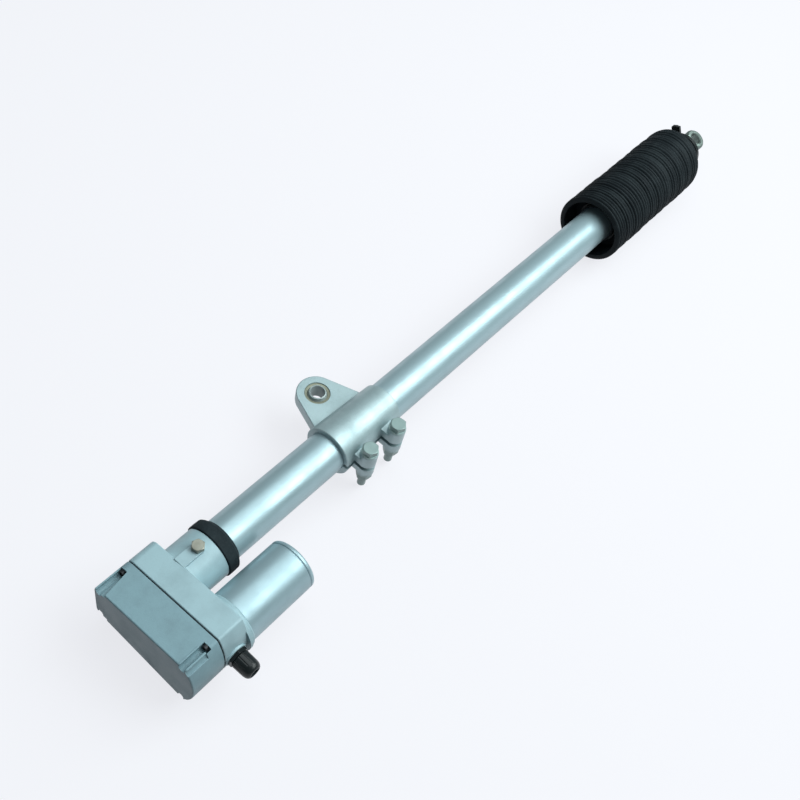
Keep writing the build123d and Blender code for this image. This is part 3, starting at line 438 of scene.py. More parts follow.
    @staticmethod
    def place(piece: bpy.types.Object, axis: Axis, x: float = 0.0, y: float = 0.0, z: float = 0.0,
              roll: float = 0.0) -> bpy.types.Object:
        """Puts a piece in the row frame and leaves its object at the origin.

        Args:
            piece: the object, modelled about the origin.
            axis: the way its own Z points.
            x: place along the tube.
            y: place across the tube.
            z: height.
            roll: turn about its own axis first, in degrees.

        Returns:
            The same object.
        """
        Bench.pick(piece)
        spot = Matrix.Translation((x * MM, y * MM, z * MM))
        piece.matrix_world = spot @ axis.value @ Matrix.Rotation(radians(roll), 4, "Z")
        bpy.ops.object.transform_apply(location=True, rotation=True, scale=True)
        return piece

    @staticmethod
    def work(piece: bpy.types.Object, stations: list[tuple[float, float]], axis: Axis, x: float = 0.0,
             y: float = 0.0, segments: int = 96, how: str = "DIFFERENCE") -> None:
        """Turns a tool, puts it in its place, and cuts it out of a piece or fuses it on.

        Args:
            piece: the object that keeps the result.
            stations: (height, radius) along the tool.
            axis: the way the tool's own Z points.
            x: place along the tube.
            y: place across the tube.
            segments: faces round the tool.
            how: DIFFERENCE, UNION or INTERSECT.
        """
        Bench.combine(piece, Bench.place(Bench.turn("tool", stations, segments), axis, x, y), how)

    @staticmethod
    def copies(piece: bpy.types.Object, steps: list[tuple[float, float, float]]) -> bpy.types.Object:
        """Joins copies of a placed piece to it, each with its own mesh.

        Args:
            piece: the object, at its first place.
            steps: (x, y, z) from the first place to each copy, in mm.

        Returns:
            The joined object.
        """
        made = []
        for step in steps:
            twin = piece.copy()
            twin.data = piece.data.copy()
            twin.data.transform(Matrix.Translation(Vector(step) * MM))
            bpy.context.scene.collection.objects.link(twin)
            made.append(twin)
        Bench.pick(piece)
        for twin in made:
            twin.select_set(True)
        bpy.ops.object.join()
        return piece

    @staticmethod
    def finish(piece: bpy.types.Object, finish: Finish, body: str, slot: str, nodes: tuple[str, ...],
               angle: float = 32.0) -> bpy.types.Object:
        """Smooths, paints and hands a piece to its body, in place of its CAD nodes.

        Args:
            piece: the finished object.
            finish: its surface.
            body: the CAD body that it rides on.
            slot: the record's material slot; not used.
            nodes: the CAD nodes that it replaces.
            angle: faces that meet under this angle are shaded smooth, in degrees.

        Returns:
            The same object.
        """
        Bench.pick(piece)
        bpy.ops.object.shade_smooth_by_angle(angle=radians(angle))
        even = piece.modifiers.new("even", "WEIGHTED_NORMAL")
        even.keep_sharp = True
        bpy.ops.object.modifier_apply(modifier=even.name)
        piece.data.materials.clear()
        piece.data.materials.append(finish.material())
        if body:
            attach(piece, body)
        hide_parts(*nodes)
        log.info("%s: %d faces in place of %s", piece.name, len(piece.data.polygons), ", ".join(nodes))
        return piece


@dataclass
class Stations:
    """Places along the tube's axis in mm, as the CAD model has them."""

    cover_rear: float = -1151.0
    cover_front: float = -1110.0
    gasket_front: float = -1108.5
    wall_back: float = -1083.0
    housing_front: float = -1077.0
    bearing_rear: float = -1075.0
    tube_rear: float = -1059.0
    neck_front: float = -1037.0
    tube_mouth: float = -95.0
    motor_y: float = -70.0
    bolt_x: float = -1053.0
    gland_x: float = -1095.0


@dataclass
class GearCase:
    """The egg-shaped gear housing with its cover, screws and locking bolt."""

    at: Stations = field(default_factory=Stations)
    tube_corner: tuple[float, float, float] = (30.2, 19.1, 10.0)
    ridge: tuple[float, float, float] = (-84.97, 34.42, 4.0)
    end_middle: float = -30.88
    end_radius: float = 68.12
    wall: float = 3.2
    neck_radius: float = 30.6
    seat_radius: float = 32.6
    screws: tuple[tuple[float, float], ...] = ((33.24, 22.67), (-82.6, 34.3))
    recess: float = 9.0
    channel: float = 3.9
    pocket: tuple[float, float] = (-83.6, 4.8)
    ledge: tuple[float, float, float] = (23.6, 28.6, 24.6)
    ribs: tuple[tuple[float, float], ...] = ((-77.8, 37.0), (-87.0, 36.9), (-91.2, 29.6))

    def outline(self, inset: float = 0.0) -> list[tuple[float, float, float]]:
        """Gives discs round which the outline runs: four corners and the curved motor end.

        Args:
            inset: distance inside the outline.

        Returns:
            (y, z, radius) of each disc.
        """
        corners = [(y, side * z, radius - inset)
                   for y, z, radius in (self.tube_corner, self.ridge) for side in (1, -1)]
        reach = self.end_radius - inset - 0.5
        return corners + [(self.end_middle + reach * cos(radians(turn)), reach * sin(radians(turn)), 0.5)
                          for turn in range(150, 211, 3)]

    def seats(self) -> list[tuple[float, float]]:
        """Gives each cover screw's place.

        Returns:
            (y, z) of each of the four screws.
        """
        return [(y, side * z) for y, z in self.screws for side in (1, -1)]

    def housing(self) -> None:
        """Models the housing casting with neck, pad, motor seat and gland boss."""
        at = self.at
        case = Bench.hull("gear_housing_casting", self.outline(), at.gasket_front, at.housing_front)
        Bench.soften(case, 1.4, 4, 60)
        front, neck, seat = at.housing_front, self.neck_radius, self.seat_radius
        Bench.work(case, [(front - 2, neck + 0.6), (front + 2.2, neck + 0.6), (front + 3.4, neck),
                          (at.neck_front - 0.8, neck), (at.neck_front, neck - 0.8)], Axis.UP, how="UNION")
        Bench.work(case, [(front - 2, seat + 1.6), (front + 1.6, seat + 1.4), (front + 2.4, seat),
                          (front + 4.6, seat), (front + 6, seat - 1.2)], Axis.UP, x=at.motor_y, how="UNION")
        Bench.place(case, Axis.TUBE)
        self._case_pad(case)
        self._case_hollows(case)
        Bench.finish(case, CAST_PAINT, "actuator_body", "cast_housing", ("gear_housing",))

    def _case_pad(self, case: bpy.types.Object) -> None:
        """Adds the flat pad that carries the locking bolt, and the gland's boss.

        Args:
            case: the housing in its place.
        """
        at = self.at
        pad = Bench.hull("pad", [(at.bolt_x, 0.0, 7.2), (at.housing_front - 1.0, 6.7, 0.5),
                                 (at.housing_front - 1.0, -6.7, 0.5)], 20.0, 32.2)
        Bench.soften(pad, 0.7, 3, 60)
        Bench.combine(case, pad, "UNION")
        boss = [(96.0, 13.6), (99.0, 13.6), (100.0, 13.0)]
        Bench.work(case, boss, Axis.OUTWARDS, x=at.gland_x, how="UNION")

    def _case_hollows(self, case: bpy.types.Object) -> None:
        """Cuts the gear chamber, the bores and the bolt holes.

        Args:
            case: the housing in its place.
        """
        at = self.at
        chamber = Bench.hull("chamber", self.outline(self.wall), at.gasket_front - 1, at.wall_back)
        Bench.combine(case, Bench.place(chamber, Axis.TUBE))
        bore = [(at.wall_back - 1, 16.0), (at.bearing_rear, 16.0), (at.bearing_rear, 23.55),
                (at.tube_rear, 23.55), (at.tube_rear, 25.02), (at.neck_front + 1, 25.02)]
        Bench.work(case, bore, Axis.TUBE)
        Bench.work(case, [(at.wall_back - 1, 12.05), (at.housing_front + 7, 12.05)], Axis.TUBE,
                   y=at.motor_y, segments=48)
        Bench.work(case, [(90.0, 8.05), (101.0, 8.05)], Axis.OUTWARDS, x=at.gland_x, segments=48)
        Bench.work(case, [(20.0, 4.05), (33.0, 4.05)], Axis.UP, x=at.bolt_x, segments=32)

    def cover(self) -> None:
        """Models the cover with its rounded rim, and hollows it."""
        at = self.at
        cover = Bench.hull("gear_cover_casting", self.outline(), at.cover_rear, at.cover_front + 4)
        Bench.soften(cover, 3.0, 6, 60)
        joint = Bench.hull("joint", [(y, z, radius + 4.0) for y, z, radius in self.outline()],
                           at.cover_front, at.cover_front + 10)
        Bench.combine(cover, joint)
        for side in (1, -1):
            self._cover_recesses(cover, side)
        for y, z in self.seats():
            Bench.work(cover, [(at.cover_front - 12, 2.6), (at.cover_front + 1, 2.6)], Axis.UP, y, z, 24)
        corners = ((21.0, 11.0, 5.0), (-74.0, 20.0, 6.0))
        discs = [(y, side * z, radius) for y, z, radius in corners for side in (1, -1)]
        chamber = Bench.hull("chamber", discs, at.cover_rear + self.wall, at.cover_front + 1)
        Bench.combine(cover, chamber)
        Bench.place(cover, Axis.TUBE)
        Bench.finish(cover, COVER_PAINT, "actuator_body", "cast_housing", ("gear_cover",))

    def _cover_recesses(self, cover: bpy.types.Object, side: int) -> None:
        """Cuts the ledge, the channel and the flute of one side, and lays the ribs along them.

        Args:
            cover: the cover, standing on its own Z.
            side: 1 for the upper side and -1 for the lower.
        """
        rear, front, reach = self.at.cover_rear - 2, self.at.cover_front - self.recess, 14.0
        rear_y, front_y, floor = self.ledge
        low, high = sorted((side * floor, side * 45.0))
        plan = [(rear_y + 1.0, rear, 1.0), (front_y + 1.0, front - 1.0, 1.0), (50.0, rear, 1.0),
                (50.0, front - 1.0, 1.0)]
        ledge = Bench.hull("ledge", plan, -high, -low, 24)
        ledge.data.transform(Matrix.Rotation(radians(90), 4, "X"))
        Bench.combine(cover, ledge)
        tube_screw, ridge_screw = self.screws
        wide_y, wide = self.pocket
        grooves = ((*tube_screw, self.channel, rear), (*ridge_screw, self.channel, rear),
                   (wide_y, ridge_screw[1], wide, front - 6.5))
        for y, z, radius, start in grooves:
            discs = [(y, side * (z + out), radius) for out in (0, reach)]
            Bench.combine(cover, Bench.hull("channel", discs, start, front, 32))
        flute = [(-94.25 - 0.851 * out, side * (36.64 + 0.526 * out), 7.0) for out in (0, reach)]
        Bench.combine(cover, Bench.hull("flute", flute, rear, front - 6, 64))
        for number, (y, z) in enumerate(self.ribs):
            end = front - (6.0, 6.0, 5.0)[number]
            Bench.work(cover, [(rear + 3.0, 0.3), (rear + 3.6, 0.95), (rear + 4.8, 1.25), (end - 1.0, 1.25),
                               (end - 0.3, 0.9), (end, 0.3)], Axis.UP, y, side * z, 24, "UNION")

    def cover_screws(self) -> None:
        """Models the four socket screws in their recesses."""
        rear = self.at.cover_front - self.recess - 4.0
        screw = Bench.turn("cover_socket_screws", [
            (rear + 2, 0), (rear + 2, 1.7), (rear, 1.9), (rear, 3.0), (rear + 0.5, 3.5), (rear + 4, 3.5),
            (rear + 4, 2.5), (rear + 33, 2.5), (rear + 33.4, 2.1), (rear + 33.4, 0)], 36)
        first, *rest = self.seats()
        Bench.place(screw, Axis.TUBE, y=first[0], z=first[1])
        Bench.copies(screw, [(0, y - first[0], z - first[1]) for y, z in rest])
        # The near-black zinc on the screws is painted shade for their dark pockets.
        Bench.finish(screw, SCREW_ZINC_PAINTED_SHADE, "actuator_body", "zinc_steel", ("cover_screws",))

    def locking_bolt(self) -> None:
        """Models the hexagon bolt on the neck's pad."""
        bolt = Fastener(8.0, 13.0, 5.3).bolt("neck_locking_bolt", 7.0)
        Bench.place(bolt, Axis.UP, x=self.at.bolt_x, z=32.2, roll=12)
        Bench.finish(bolt, YELLOW_ZINC, "actuator_body", "yellow_zinc", ("neck_bolt",))

    def collar(self) -> None:
        """Models the rough rubber collar over the joint of neck and tube."""
        front = self.at.neck_front
        ring = Bench.turn("neck_rubber_collar", [
            (front + 0.1, 25.05), (front + 0.1, 31.4), (front + 0.9, 32.2), (front + 6.5, 32.3),
            (front + 13.2, 32.0), (front + 14.0, 31.2), (front + 14.6, 29.6), (front + 18.0, 26.6),
            (front + 18.0, 25.05)], 128, closed=True)
        Bench.place(ring, Axis.TUBE)
        Bench.finish(ring, COLLAR_RUBBER, "actuator_body", "bellows_rubber", ("tube_collar",), 40)

    def build(self) -> None:
        """Builds the gear case's visible pieces."""
        self.housing()
        self.cover()
        self.cover_screws()
        self.locking_bolt()
        self.collar()


@dataclass
class Fastener:
    """A hexagon bolt or nut, its own Z out of the head; sizes in mm."""

    thread: float
    flats: float
    height: float

    def _hexagon(self, name: str, height: float, both: bool) -> bpy.types.Object:
        """Models a hexagon prism with turned chamfers.

        Args:
            name: the piece's name.
            height: its height.
            both: True where the lower end is chamfered too.

        Returns:
            The prism, standing on height 0.
        """
        across = self.flats / cos(pi / 6) / 2
        prism = Bench.turn(name, [(0, across), (height, across)], 6)
        face, drop = self.flats / 2 * 0.96, (across - self.flats / 2) * 0.75
        low = [(-0.01, face), (drop * 0.75, across + 0.02)] if both else [(-0.01, across + 0.02)]
        crown = [*low, (height - drop, across + 0.02), (height + 0.01, face)]
        Bench.work(prism, crown, Axis.UP, segments=64, how="INTERSECT")
        Bench.soften(prism, 0.18, 2, 20)
        return prism

    def bolt(self, name: str, length: float) -> bpy.types.Object:
        """Models a bolt with its shank.

        Args:
            name: the piece's name.
            length: length under the head.

        Returns:
            The bolt, its head's underside at height 0.
        """
        head = self._hexagon(name, self.height, False)
        radius = self.thread / 2
        shank = [(-length, 0), (-length, radius * 0.82), (-length + 1, radius), (0.5, radius)]
        Bench.work(head, shank, Axis.UP, segments=40, how="UNION")
        return head

    def nut(self, name: str) -> bpy.types.Object:
        """Models a nut.

        Args:
            name: the piece's name.

        Returns:
            The nut, standing on height 0.
        """
        nut = self._hexagon(name, self.height, True)
        radius = self.thread / 2 + 0.05
        Bench.work(nut, [(-1, radius), (self.height + 1, radius)], Axis.UP, segments=40)
        return nut


@dataclass
class MotorCan:
    """The motor's silver can and rounded end cap."""

    at: Stations = field(default_factory=Stations)
    radius: float = 30.4
    length: float = 82.5

    def build(self) -> None:
        """Builds the can and the cap."""
        rear = self.at.housing_front + 6.0
        front, inner, r = rear + self.length, self.radius - 1.6, self.radius
        can = Bench.turn("motor_steel_can", [
            (rear + 3, 4.06), (rear - 4, 4.06), (rear - 4, 12.0), (rear, 12.0), (rear, r - 0.6),
            (rear + 0.6, r), (front - 0.6, r), (front, r - 0.7), (front, inner), (rear + 3, inner)],
            128, closed=True)
        Bench.place(can, Axis.TUBE, y=self.at.motor_y)
        Bench.finish(can, MOTOR_PAINT, "actuator_body", "silver_tube", ("motor_can",))
        cap = Bench.turn("motor_rounded_cap", [
            (front + 4, 0), (front + 4, 4.06), (front, 4.06), (front, 8.0), (front + 4, 8.0),
            (front + 4, inner), (front, inner), (front, r - 1.1), (front + 0.6, r - 1.1),
            (front + 1.1, r - 0.3),
            (front + 1.6, r - 0.05), (front + 3.6, r - 0.1), (front + 4.7, r - 0.6), (front + 5.6, r - 1.5),
            (front + 6.2, r - 2.6), (front + 6.5, r - 4.0), (front + 6.5, r - 8.0), (front + 5.9, r - 8.6),
            (front + 5.9, 0)], 128)
        Bench.place(cap, Axis.TUBE, y=self.at.motor_y)
        Bench.finish(cap, MOTOR_PAINT, "actuator_body", "silver_tube", ("motor_end_cap",), 40)


@dataclass
class TubePair:
    """The outer tube, and the inner tube that runs in it."""

    at: Stations = field(default_factory=Stations)

    def build(self) -> None:
        """Builds both tubes."""
        rear, mouth = self.at.tube_rear, self.at.tube_mouth
        outer = Bench.turn("outer_silver_tube", [
            (rear, 22.5), (rear, 24.6), (rear + 0.4, 25.0), (mouth - 0.4, 25.0), (mouth, 24.6),
            (mouth, 22.5)], 160, closed=True)
        Bench.place(outer, Axis.TUBE)
        Bench.finish(outer, TUBE_PAINT, "actuator_body", "silver_tube", ("outer_tube",))
        rod = Bench.turn("inner_chromed_tube", [
            (-1003.0, 15.0), (-1003.0, 18.0), (-34.0, 18.0), (-34.0, 15.0)], 128, closed=True)
        Bench.place(rod, Axis.TUBE)
        Bench.finish(rod, CHROME, "rod", "chromed_rod", ("inner_tube",))


@dataclass
class PivotClamp:
    """The split clamp with its ear, ball bush, bolts, washers and nuts."""

    rear: float = -855.6
    length: float = 96.3
    ear_x: float = -808.95
    ear_y: float = 60.0
    bolt_y: float = -40.5
    bolt_step: float = 48.0

    def casting(self) -> None:
        """Models the casting: barrel, ear, and a pair of lugs at each bolt."""
        front = self.rear + self.length
        casting = Bench.turn("pivot_clamp_casting", [
            (self.rear, 23.0), (self.rear, 30.4), (self.rear + 0.9, 31.2), (front - 1.2, 28.05),
            (front, 27.0), (front, 23.0)], 128)
        Bench.place(casting, Axis.TUBE)
        ear = Bench.hull("ear", [(self.ear_x, self.ear_y, 25.0), (self.ear_x - 39.0, 17.0, 3.0),
                                 (self.ear_x + 39.0, 17.0, 3.0)], -7.5, 7.5)
        Bench.soften(ear, 1.3, 3, 60)
        Bench.combine(casting, ear, "UNION")
        for side in (-0.5, 0.5):
            x = self.ear_x + side * self.bolt_step
            lug = [(-15, 9.9), (-14.4, 10.5), (20.4, 10.5), (21, 9.9)]
            Bench.work(casting, lug, Axis.UP, x, self.bolt_y, 48, "UNION")
            web = Bench.hull("web", [(x, self.bolt_y, 10.2), (x, -10.0, 10.2)], -12.0, 13.0, 32)
            Bench.soften(web, 1.0, 3, 60)
            Bench.combine(casting, web, "UNION")
        self._openings(casting)
        Bench.finish(casting, CLAMP_PAINT, "clamp", "clamp_cast", ("tube_clamp",))

    def _openings(self, casting: bpy.types.Object) -> None:
        """Cuts the bore, the split, the bolt holes and the seat of the bush.

        Args:
            casting: the casting in its place.
        """
        rear, front = self.rear, self.rear + self.length
        Bench.work(casting, [(rear - 1, 25.1), (front + 1, 25.1)], Axis.TUBE, segments=128)
        split = [(x, y, 3.0) for y in (-60.0, -20.0) for x in (rear - 5, front + 5)]
        Bench.combine(casting, Bench.hull("split", split, -3.0, 3.0, 12))
        Bench.work(casting, [(-9, 15.4), (9, 15.4)], Axis.UP, self.ear_x, self.ear_y)
        for side in (-0.5, 0.5):
            x = self.ear_x + side * self.bolt_step
            Bench.work(casting, [(-17, 5.2), (23, 5.2)], Axis.UP, x, self.bolt_y, 40)

    def fasteners(self) -> None:
        """Models the two bolts with washers and nuts."""
        x, step = self.ear_x - self.bolt_step / 2, [(self.bolt_step, 0, 0)]
        bolt = Fastener(10.0, 17.0, 7.0).bolt("clamp_hexagon_bolts", 67.0)
        Bench.place(bolt, Axis.UP, x=x, y=self.bolt_y, z=23.0, roll=8)
        Bench.copies(bolt, step)
        Bench.finish(bolt, ZINC, "clamp", "zinc_steel", ("clamp_bolts",))
        nut = Fastener(10.0, 17.0, 8.4).nut("clamp_hexagon_nuts")
        Bench.place(nut, Axis.UP, x=x, y=self.bolt_y, z=-25.4, roll=20)
        Bench.copies(nut, step)
        Bench.finish(nut, ZINC, "clamp", "zinc_steel", ("clamp_nuts",))
        washer = Bench.turn("clamp_plain_washers", [
            (0, 5.1), (0, 9.8), (0.4, 10.2), (1.6, 10.2), (2, 9.8), (2, 5.1)], 48, closed=True)
        Bench.place(washer, Axis.UP, x=x, y=self.bolt_y, z=21.0)
        Bench.copies(washer, [(0, 0, -38.0), (self.bolt_step, 0, 0), (self.bolt_step, 0, -38.0)])
        # The washers take the lighter copy of the zinc, which is painted light.
        Bench.finish(washer, WASHER_ZINC_PAINTED_LIGHT, "clamp", "zinc_steel", ("clamp_washers",))

    def bush(self) -> None:
        """Models the ball bush: race in the ear, ball with its bore."""
        race = Bench.turn("ear_bush_race", [
            (-6.5, 14.9), (-6.0, 15.4), (6.0, 15.4), (6.5, 14.9), (6.5, 12.2), (6.1, 11.6), (4, 12.45),
            (2, 12.93), (0, 13.06), (-2, 12.93), (-4, 12.45), (-6.1, 11.6), (-6.5, 12.2)], 96, closed=True)
        Bench.place(race, Axis.UP, x=self.ear_x, y=self.ear_y)
        Bench.finish(race, AGED_ZINC, "clamp", "yellow_zinc", ("ear_race",), 34)
        arc = [(13.0 * sin(radians(a)), 13.0 * cos(radians(a))) for a in range(-36, 37, 6)]
        ball = Bench.turn("ear_bush_ball", [
            (-10, 9.0), (-9.5, 10.3), *arc, (9.5, 10.3), (10, 9.0), (9.6, 8.5), (-9.6, 8.5)], 96, closed=True)
        Bench.place(ball, Axis.UP, x=self.ear_x, y=self.ear_y)
        Bench.finish(ball, STEEL, "ear_ball", "plain_steel", ("ear_ball",), 40)

    def build(self) -> None:
        """Builds the clamp's pieces."""
        self.casting()
        self.fasteners()
        self.bush()


def rise(value: float, start: float, span: float) -> float:
    """Climbs from 0 at the start to 1 a span further on."""
    return min(1.0, max(0.0, (value - start) / span))


@dataclass
class Bellows:
    """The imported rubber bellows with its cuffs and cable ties."""

    rear: float = -306.0
    shoulder: float = -72.0
    crest: float = 49.3
    rear_depth: float = 3.7
    front_depth: float = 1.5
    ribs: int = 40
    lean: float = 0.11
    squeeze: float = 0.006

    def ribbed(self) -> list[tuple[float, float]]:
        """Gives the outer profile, each rib a little different as packed rubber is.

        Returns:
            (height, radius) stations from the rear rim forwards.
        """
        pitch = (self.shoulder - self.rear) / self.ribs
        stations = [(self.rear, 41.6), (self.rear, 45.0)]
        for rib in range(self.ribs):
            swell = 0.5 * sin(rib * 1.7) + 0.35 * sin(rib * 0.61 + 1.0) - 0.5
            top = self.crest + min(0.0, swell)
            start = self.rear + (rib + 0.07 * sin(rib * 2.3)) * pitch
            depth = self.rear_depth + (self.front_depth - self.rear_depth) * rib / self.ribs + 0.3 * sin(rib)
            fold = ((0.16, 0.3), (0.32, 0.04), (0.5, 0.0), (0.66, 0.1), (0.82, 0.4), (0.96, 1.0))
            stations += [(start + share * pitch, top - depth * down) for share, down in fold]
        return stations

    def build(self) -> None:
        """Builds the bellows and both ties."""
        front_cuff = [
            (-70.6, 47.6), (-69.2, 47.2), (-67.6, 45.4), (-66.4, 42.2), (-64.8, 41.6), (-63.4, 39.4),
            (-62.2, 36.6), (-60.6, 36.0), (-59.0, 33.8), (-57.4, 31.4), (-54.8, 30.4), (-52.8, 28.6),
            (-51.0, 28.05), (-36.6, 28.05), (-36.0, 27.5), (-36.0, 25.1), (-52.0, 25.1), (-60.0, 31.4),
            (-72.0, 41.5)]
        rear_cuff = [
            (-268.8, 41.5), (-269.2, 40.5), (-269.2, 25.1), (-287.6, 25.1), (-288.0, 25.5), (-288.0, 27.6),
            (-287.6, 28.0), (-273.2, 28.0), (-272.2, 29.0), (-272.0, 40.5), (-273.0, 41.6)]
        stations = self.ribbed() + front_cuff + rear_cuff
        bellows = Bench.turn("packed_rubber_bellows", stations, 160, closed=True)
        Bench.place(bellows, Axis.TUBE)
        self._lean(bellows)
        Bench.finish(bellows, BELLOWS_RUBBER, "", "bellows_rubber", ("bellows",), 55)
        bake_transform(bellows)
        self._tie("rear_cable_tie", -283.0, 7.0, "actuator_body", "rear_bellows_tie")
        self._tie("front_cable_tie", -44.0, 14.0, "rod", "front_bellows_tie")

    def _lean(self, bellows: bpy.types.Object) -> None:
        """Leans the front shoulder forwards on the ear's side, and lets the folds sit a little unevenly.

        Args:
            bellows: the bellows in its place.
        """
        for vertex in bellows.data.vertices:
            x, y, z = (value / MM for value in vertex.co)
            skirt = rise(hypot(y, z), 31.0, 12.0)
            front = skirt * rise(x, -150.0, 70.0)
            fold = skirt * rise(x, self.rear + 4.0, 20.0) * (1.0 - front)
            turn = atan2(z, y)
            wave = 0.5 * sin(2 * turn + x * 0.09) + 0.3 * sin(3 * turn - x * 0.05)
            swell = 1.0 + self.squeeze * fold * sin(turn * 2 + x * 0.045)
            vertex.co = Vector((x + self.lean * y * front + wave * fold, y * swell, z * swell)) * MM

    @staticmethod
    def _tie(name: str, start: float, reach: float, body: str, node: str) -> None:
        """Models a cable tie: band, lock and cut tail.

        Args:
            name: the piece's name.
            start: the band's rear edge.
            reach: how far the lock stands out of the band.
            body: the CAD body that it rides on.
            node: the CAD node that it replaces.
        """
        band = Bench.turn(name, [(start, 28.1), (start, 29.2), (start + 0.4, 29.6), (start + 5.6, 29.6),
                                 (start + 6, 29.2), (start + 6, 28.1)], 128, closed=True)
        Bench.place(band, Axis.TUBE)
        lock = Bench.hull("lock", [(28.6, -9.6, 1.2), (28.6, -1.4, 1.2), (26.4 + reach, -9.0, 1.6),
                                   (26.4 + reach, -3.0, 1.6)], start + 0.1, start + 5.9, 24)
        tail = Bench.hull("tail", [(28.6, -1.6, 1.0), (28.6, 1.6, 1.0), (26.4 + reach, -1.8, 0.9),
                                   (26.4 + reach, 1.4, 0.9)], start + 0.9, start + 5.1, 16)
        Bench.combine(lock, tail, "UNION")
        Bench.place(lock, Axis.TUBE)
        lock.data.transform(Matrix.Rotation(radians(60), 4, "X"))
        Bench.combine(band, lock, "UNION")
        Bench.finish(band, BLACK_PLASTIC, body, "black_plastic", (node,))


@dataclass
class RodEnd:
    """The forged eye on its shank."""

    def build(self) -> None:
        """Builds the eye, its shank and the plug in the rod tube."""
        eye = Bench.turn("rod_end_eye", [
            (-7, 10.0), (-7, 13.4), (-6.4, 14.6), (-4.4, 16.2), (-3.0, 16.6), (3.0, 16.6), (4.4, 16.2),
            (6.4, 14.6), (7, 13.4), (7, 10.0), (5.6, 8.5), (-5.6, 8.5)], 96, closed=True)
        Bench.place(eye, Axis.EYE)
        shank = [(-54.0, 0), (-54.0, 14.4), (-53.4, 15.0), (-34.0, 15.0), (-34.0, 17.9), (-31.4, 17.9),
                 (-31.0, 17.5), (-31.0, 10.4), (-29.4, 9.5), (-13.6, 9.3), (-13.0, 8.9), (-13.0, 0)]
        Bench.work(eye, shank, Axis.TUBE, how="UNION")
        Bench.finish(eye, EYE_STEEL, "rod", "plain_steel", ("rod_eye",))


@dataclass
class CableGland:
    """The black gland on the housing's motor end; heights run outwards from the tube's axis."""

    at: Stations = field(default_factory=Stations)
    flutes: int = 12
    nut_radius: float = 11.35

    def build(self) -> None:
        """Builds the gland's body and its fluted dome nut."""
        across = 10.5 / cos(pi / 6)
        body = Bench.turn("gland_hexagon_body", [(100.0, across), (104.0, across)], 6)
        Bench.soften(body, 0.5, 2, 20)
        Bench.work(body, [(91.8, 8.0), (115.0, 8.0)], Axis.UP, segments=48, how="UNION")
        Bench.work(body, [(90.0, 6.0), (117.0, 6.0)], Axis.UP, segments=48)
        Bench.place(body, Axis.OUTWARDS, x=self.at.gland_x)
        Bench.finish(body, BLACK_PLASTIC, "actuator_body", "black_plastic", ("gland_body",))
        nut = Bench.turn("gland_dome_nut", [
            (104.5, 8.1), (104.5, 10.2), (104.9, 10.6), (119.0, 10.3), (121.5, 9.9), (123.4, 9.1),
            (124.8, 8.0), (125.5, 6.9), (125.5, 6.05), (122.3, 6.05), (122.0, 8.1)], 96, closed=True)
        for flute in range(self.flutes):
            turn = radians(30 * flute + 15)
            Bench.work(nut, [(103.0, 1.3), (118.0, 1.3), (120.0, 0.2)], Axis.UP, self.nut_radius * cos(turn),
                       self.nut_radius * sin(turn), 16)
        Bench.place(nut, Axis.OUTWARDS, x=self.at.gland_x)
        Bench.finish(nut, BLACK_PLASTIC, "actuator_body", "black_plastic", ("gland_nut",))


class InnerWorks:
    """The CAD nodes that stay: their finishes only."""

    @staticmethod
    def dress(loaded: dict) -> None:
        """Gives every CAD node that is still shown its finish.
        """
        slots = {part["node"]: part["material_slot"] for part in loaded["record"]["subparts"]}
        for name, node in loaded["nodes"].items():
            node.data.materials.clear()
            node.data.materials.append(NODE_FINISHES[slots[name]].material())
            if not node.hide_render:
                log.info("%s: CAD node in %s", name, slots[name])


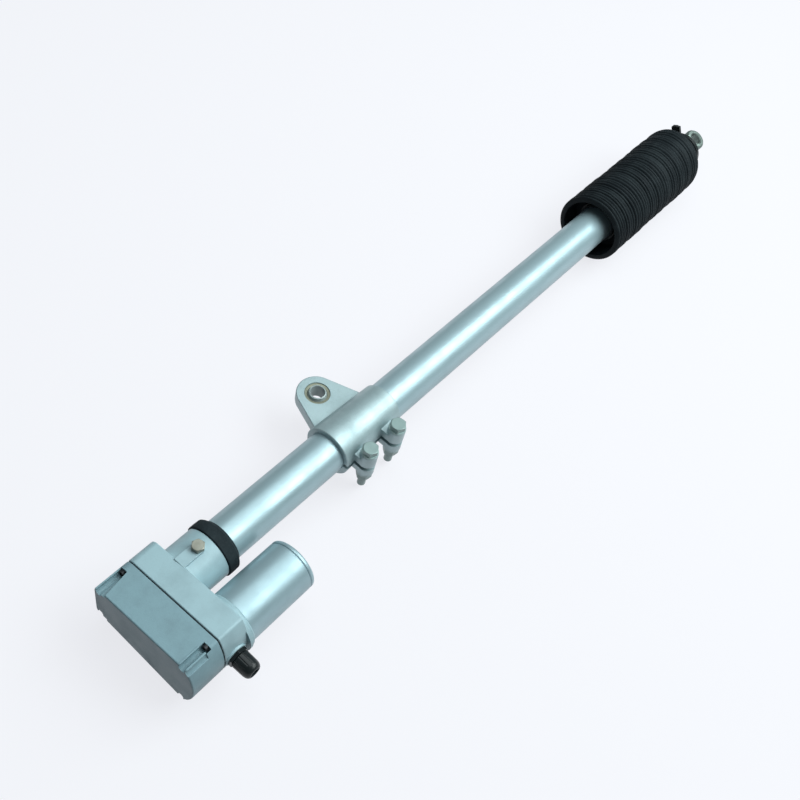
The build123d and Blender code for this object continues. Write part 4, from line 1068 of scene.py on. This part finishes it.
@dataclass
class Studio:
    """Floor, lights and the camera at the photograph's angle."""

    floor: float = -0.0502
    pale: tuple[float, float, float] = (0.905, 0.915, 0.956)
    shade: tuple[float, float, float] = (0.19, 0.135, 0.13)
    spot: tuple[float, float, float] = (-1.405395, -0.339254, 0.977367)
    right: tuple[float, float, float] = (0.63729, -0.74861, 0.18287)
    up: tuple[float, float, float] = (0.54664, 0.60641, 0.57745)
    ahead: tuple[float, float, float] = (0.54318, 0.26804, -0.79568)
    lens: float = 46.492
    glow: float = 0.85
    air: float = 0.18

    def camera(self) -> None:
        """Puts the camera where the photograph was taken from."""
        camera = bpy.data.objects.new("camera", bpy.data.cameras.new("camera"))
        bpy.context.scene.collection.objects.link(camera)
        camera.data.sensor_width, camera.data.lens = 36.0, self.lens
        camera.data.clip_start, camera.data.clip_end = 0.05, 50.0
        columns = (Vector(self.right), Vector(self.up), -Vector(self.ahead), Vector(self.spot))
        rows = [[column[row] for column in columns] for row in range(3)]
        camera.matrix_world = Matrix(rows + [[0, 0, 0, 1]])
        bpy.context.scene.camera = camera

    def ground(self) -> None:
        """Lays the pale floor, which the camera and the metal see nearly evenly lit."""
        Bench.deselect()
        bpy.ops.mesh.primitive_plane_add(size=30.0, location=(-0.6, 0, self.floor))
        floor = bpy.context.object
        floor.name = "floor"
        material = bpy.data.materials.new("floor_paper")
        material.use_nodes = True
        nodes, links = material.node_tree.nodes, material.node_tree.links
        surface = nodes["Principled BSDF"]
        surface.inputs["Roughness"].default_value = 0.9
        path = nodes.new("ShaderNodeLightPath")
        paper = nodes.new("ShaderNodeMix")
        paper.data_type = "RGBA"
        paper.inputs["A"].default_value = (*self.shade, 1.0)
        paper.inputs["B"].default_value = (*self.pale, 1.0)
        seen = path.outputs["Is Camera Ray"]
        for ray in ("Is Glossy Ray", "Is Transmission Ray"):
            either = nodes.new("ShaderNodeMath")
            either.operation = "MAXIMUM"
            links.new(seen, either.inputs[0])
            links.new(path.outputs[ray], either.inputs[1])
            seen = either.outputs["Value"]
        links.new(seen, paper.inputs["Factor"])
        links.new(paper.outputs["Result"], surface.inputs["Base Color"])
        glow = nodes.new("ShaderNodeEmission")
        glow.inputs["Color"].default_value = (*self.pale, 1.0)
        share = nodes.new("ShaderNodeMath")
        share.operation = "MULTIPLY"
        share.inputs[1].default_value = self.glow
        mix = nodes.new("ShaderNodeMixShader")
        links.new(seen, share.inputs[0])
        links.new(share.outputs["Value"], mix.inputs["Fac"])
        links.new(surface.outputs["BSDF"], mix.inputs[1])
        links.new(glow.outputs["Emission"], mix.inputs[2])
        links.new(mix.outputs["Shader"], nodes["Material Output"].inputs["Surface"])
        floor.data.materials.append(material)

    def lamp(self, name: str, spot: tuple[float, float, float], aim: tuple[float, float, float],
             size: tuple[float, float], power: float, colour: tuple[float, float, float]) -> None:
        """Adds a soft area lamp.

        Args:
            name: the lamp's name.
            spot: where it stands, in metres.
            aim: the point that it faces.
            size: its two sides in metres.
            power: its power in watts.
            colour: its colour.
        """
        data = bpy.data.lights.new(name, "AREA")
        data.shape, data.size, data.size_y = "RECTANGLE", size[0], size[1]
        data.energy, data.color = power, colour
        lamp = bpy.data.objects.new(name, data)
        lamp.location = spot
        lamp.rotation_euler = (Vector(aim) - Vector(spot)).to_track_quat("-Z", "Y").to_euler()
        bpy.context.scene.collection.objects.link(lamp)

    def build(self) -> None:
        """Sets up the whole studio."""
        self.camera()
        self.ground()
        world = bpy.data.worlds.new("studio_air")
        world.use_nodes = True
        backdrop = world.node_tree.nodes["Background"]
        backdrop.inputs["Color"].default_value = (0.82, 0.92, 0.98, 1.0)
        backdrop.inputs["Strength"].default_value = self.air
        bpy.context.scene.world = world
        self.lamp("key", (0.60, -1.08, 2.05), (-0.6, 0, 0), (2.6, 1.6), 82.0, (0.93, 1.0, 1.0))
        self.lamp("overhead", (-0.4, 0.3, 2.1), (-0.7, 0, 0), (1.3, 1.6), 16.0, (0.92, 0.99, 1.0))
        bpy.context.scene.view_settings.view_transform = "Standard"


def main() -> None:
    """Builds the studio and the actuator's sub-assemblies in order."""
    Studio().build()
    GearCase().build()
    MotorCan().build()
    TubePair().build()
    PivotClamp().build()
    Bellows().build()
    RodEnd().build()
    CableGland().build()
    InnerWorks.dress(frame)


if __name__ == "__main__":
    main()
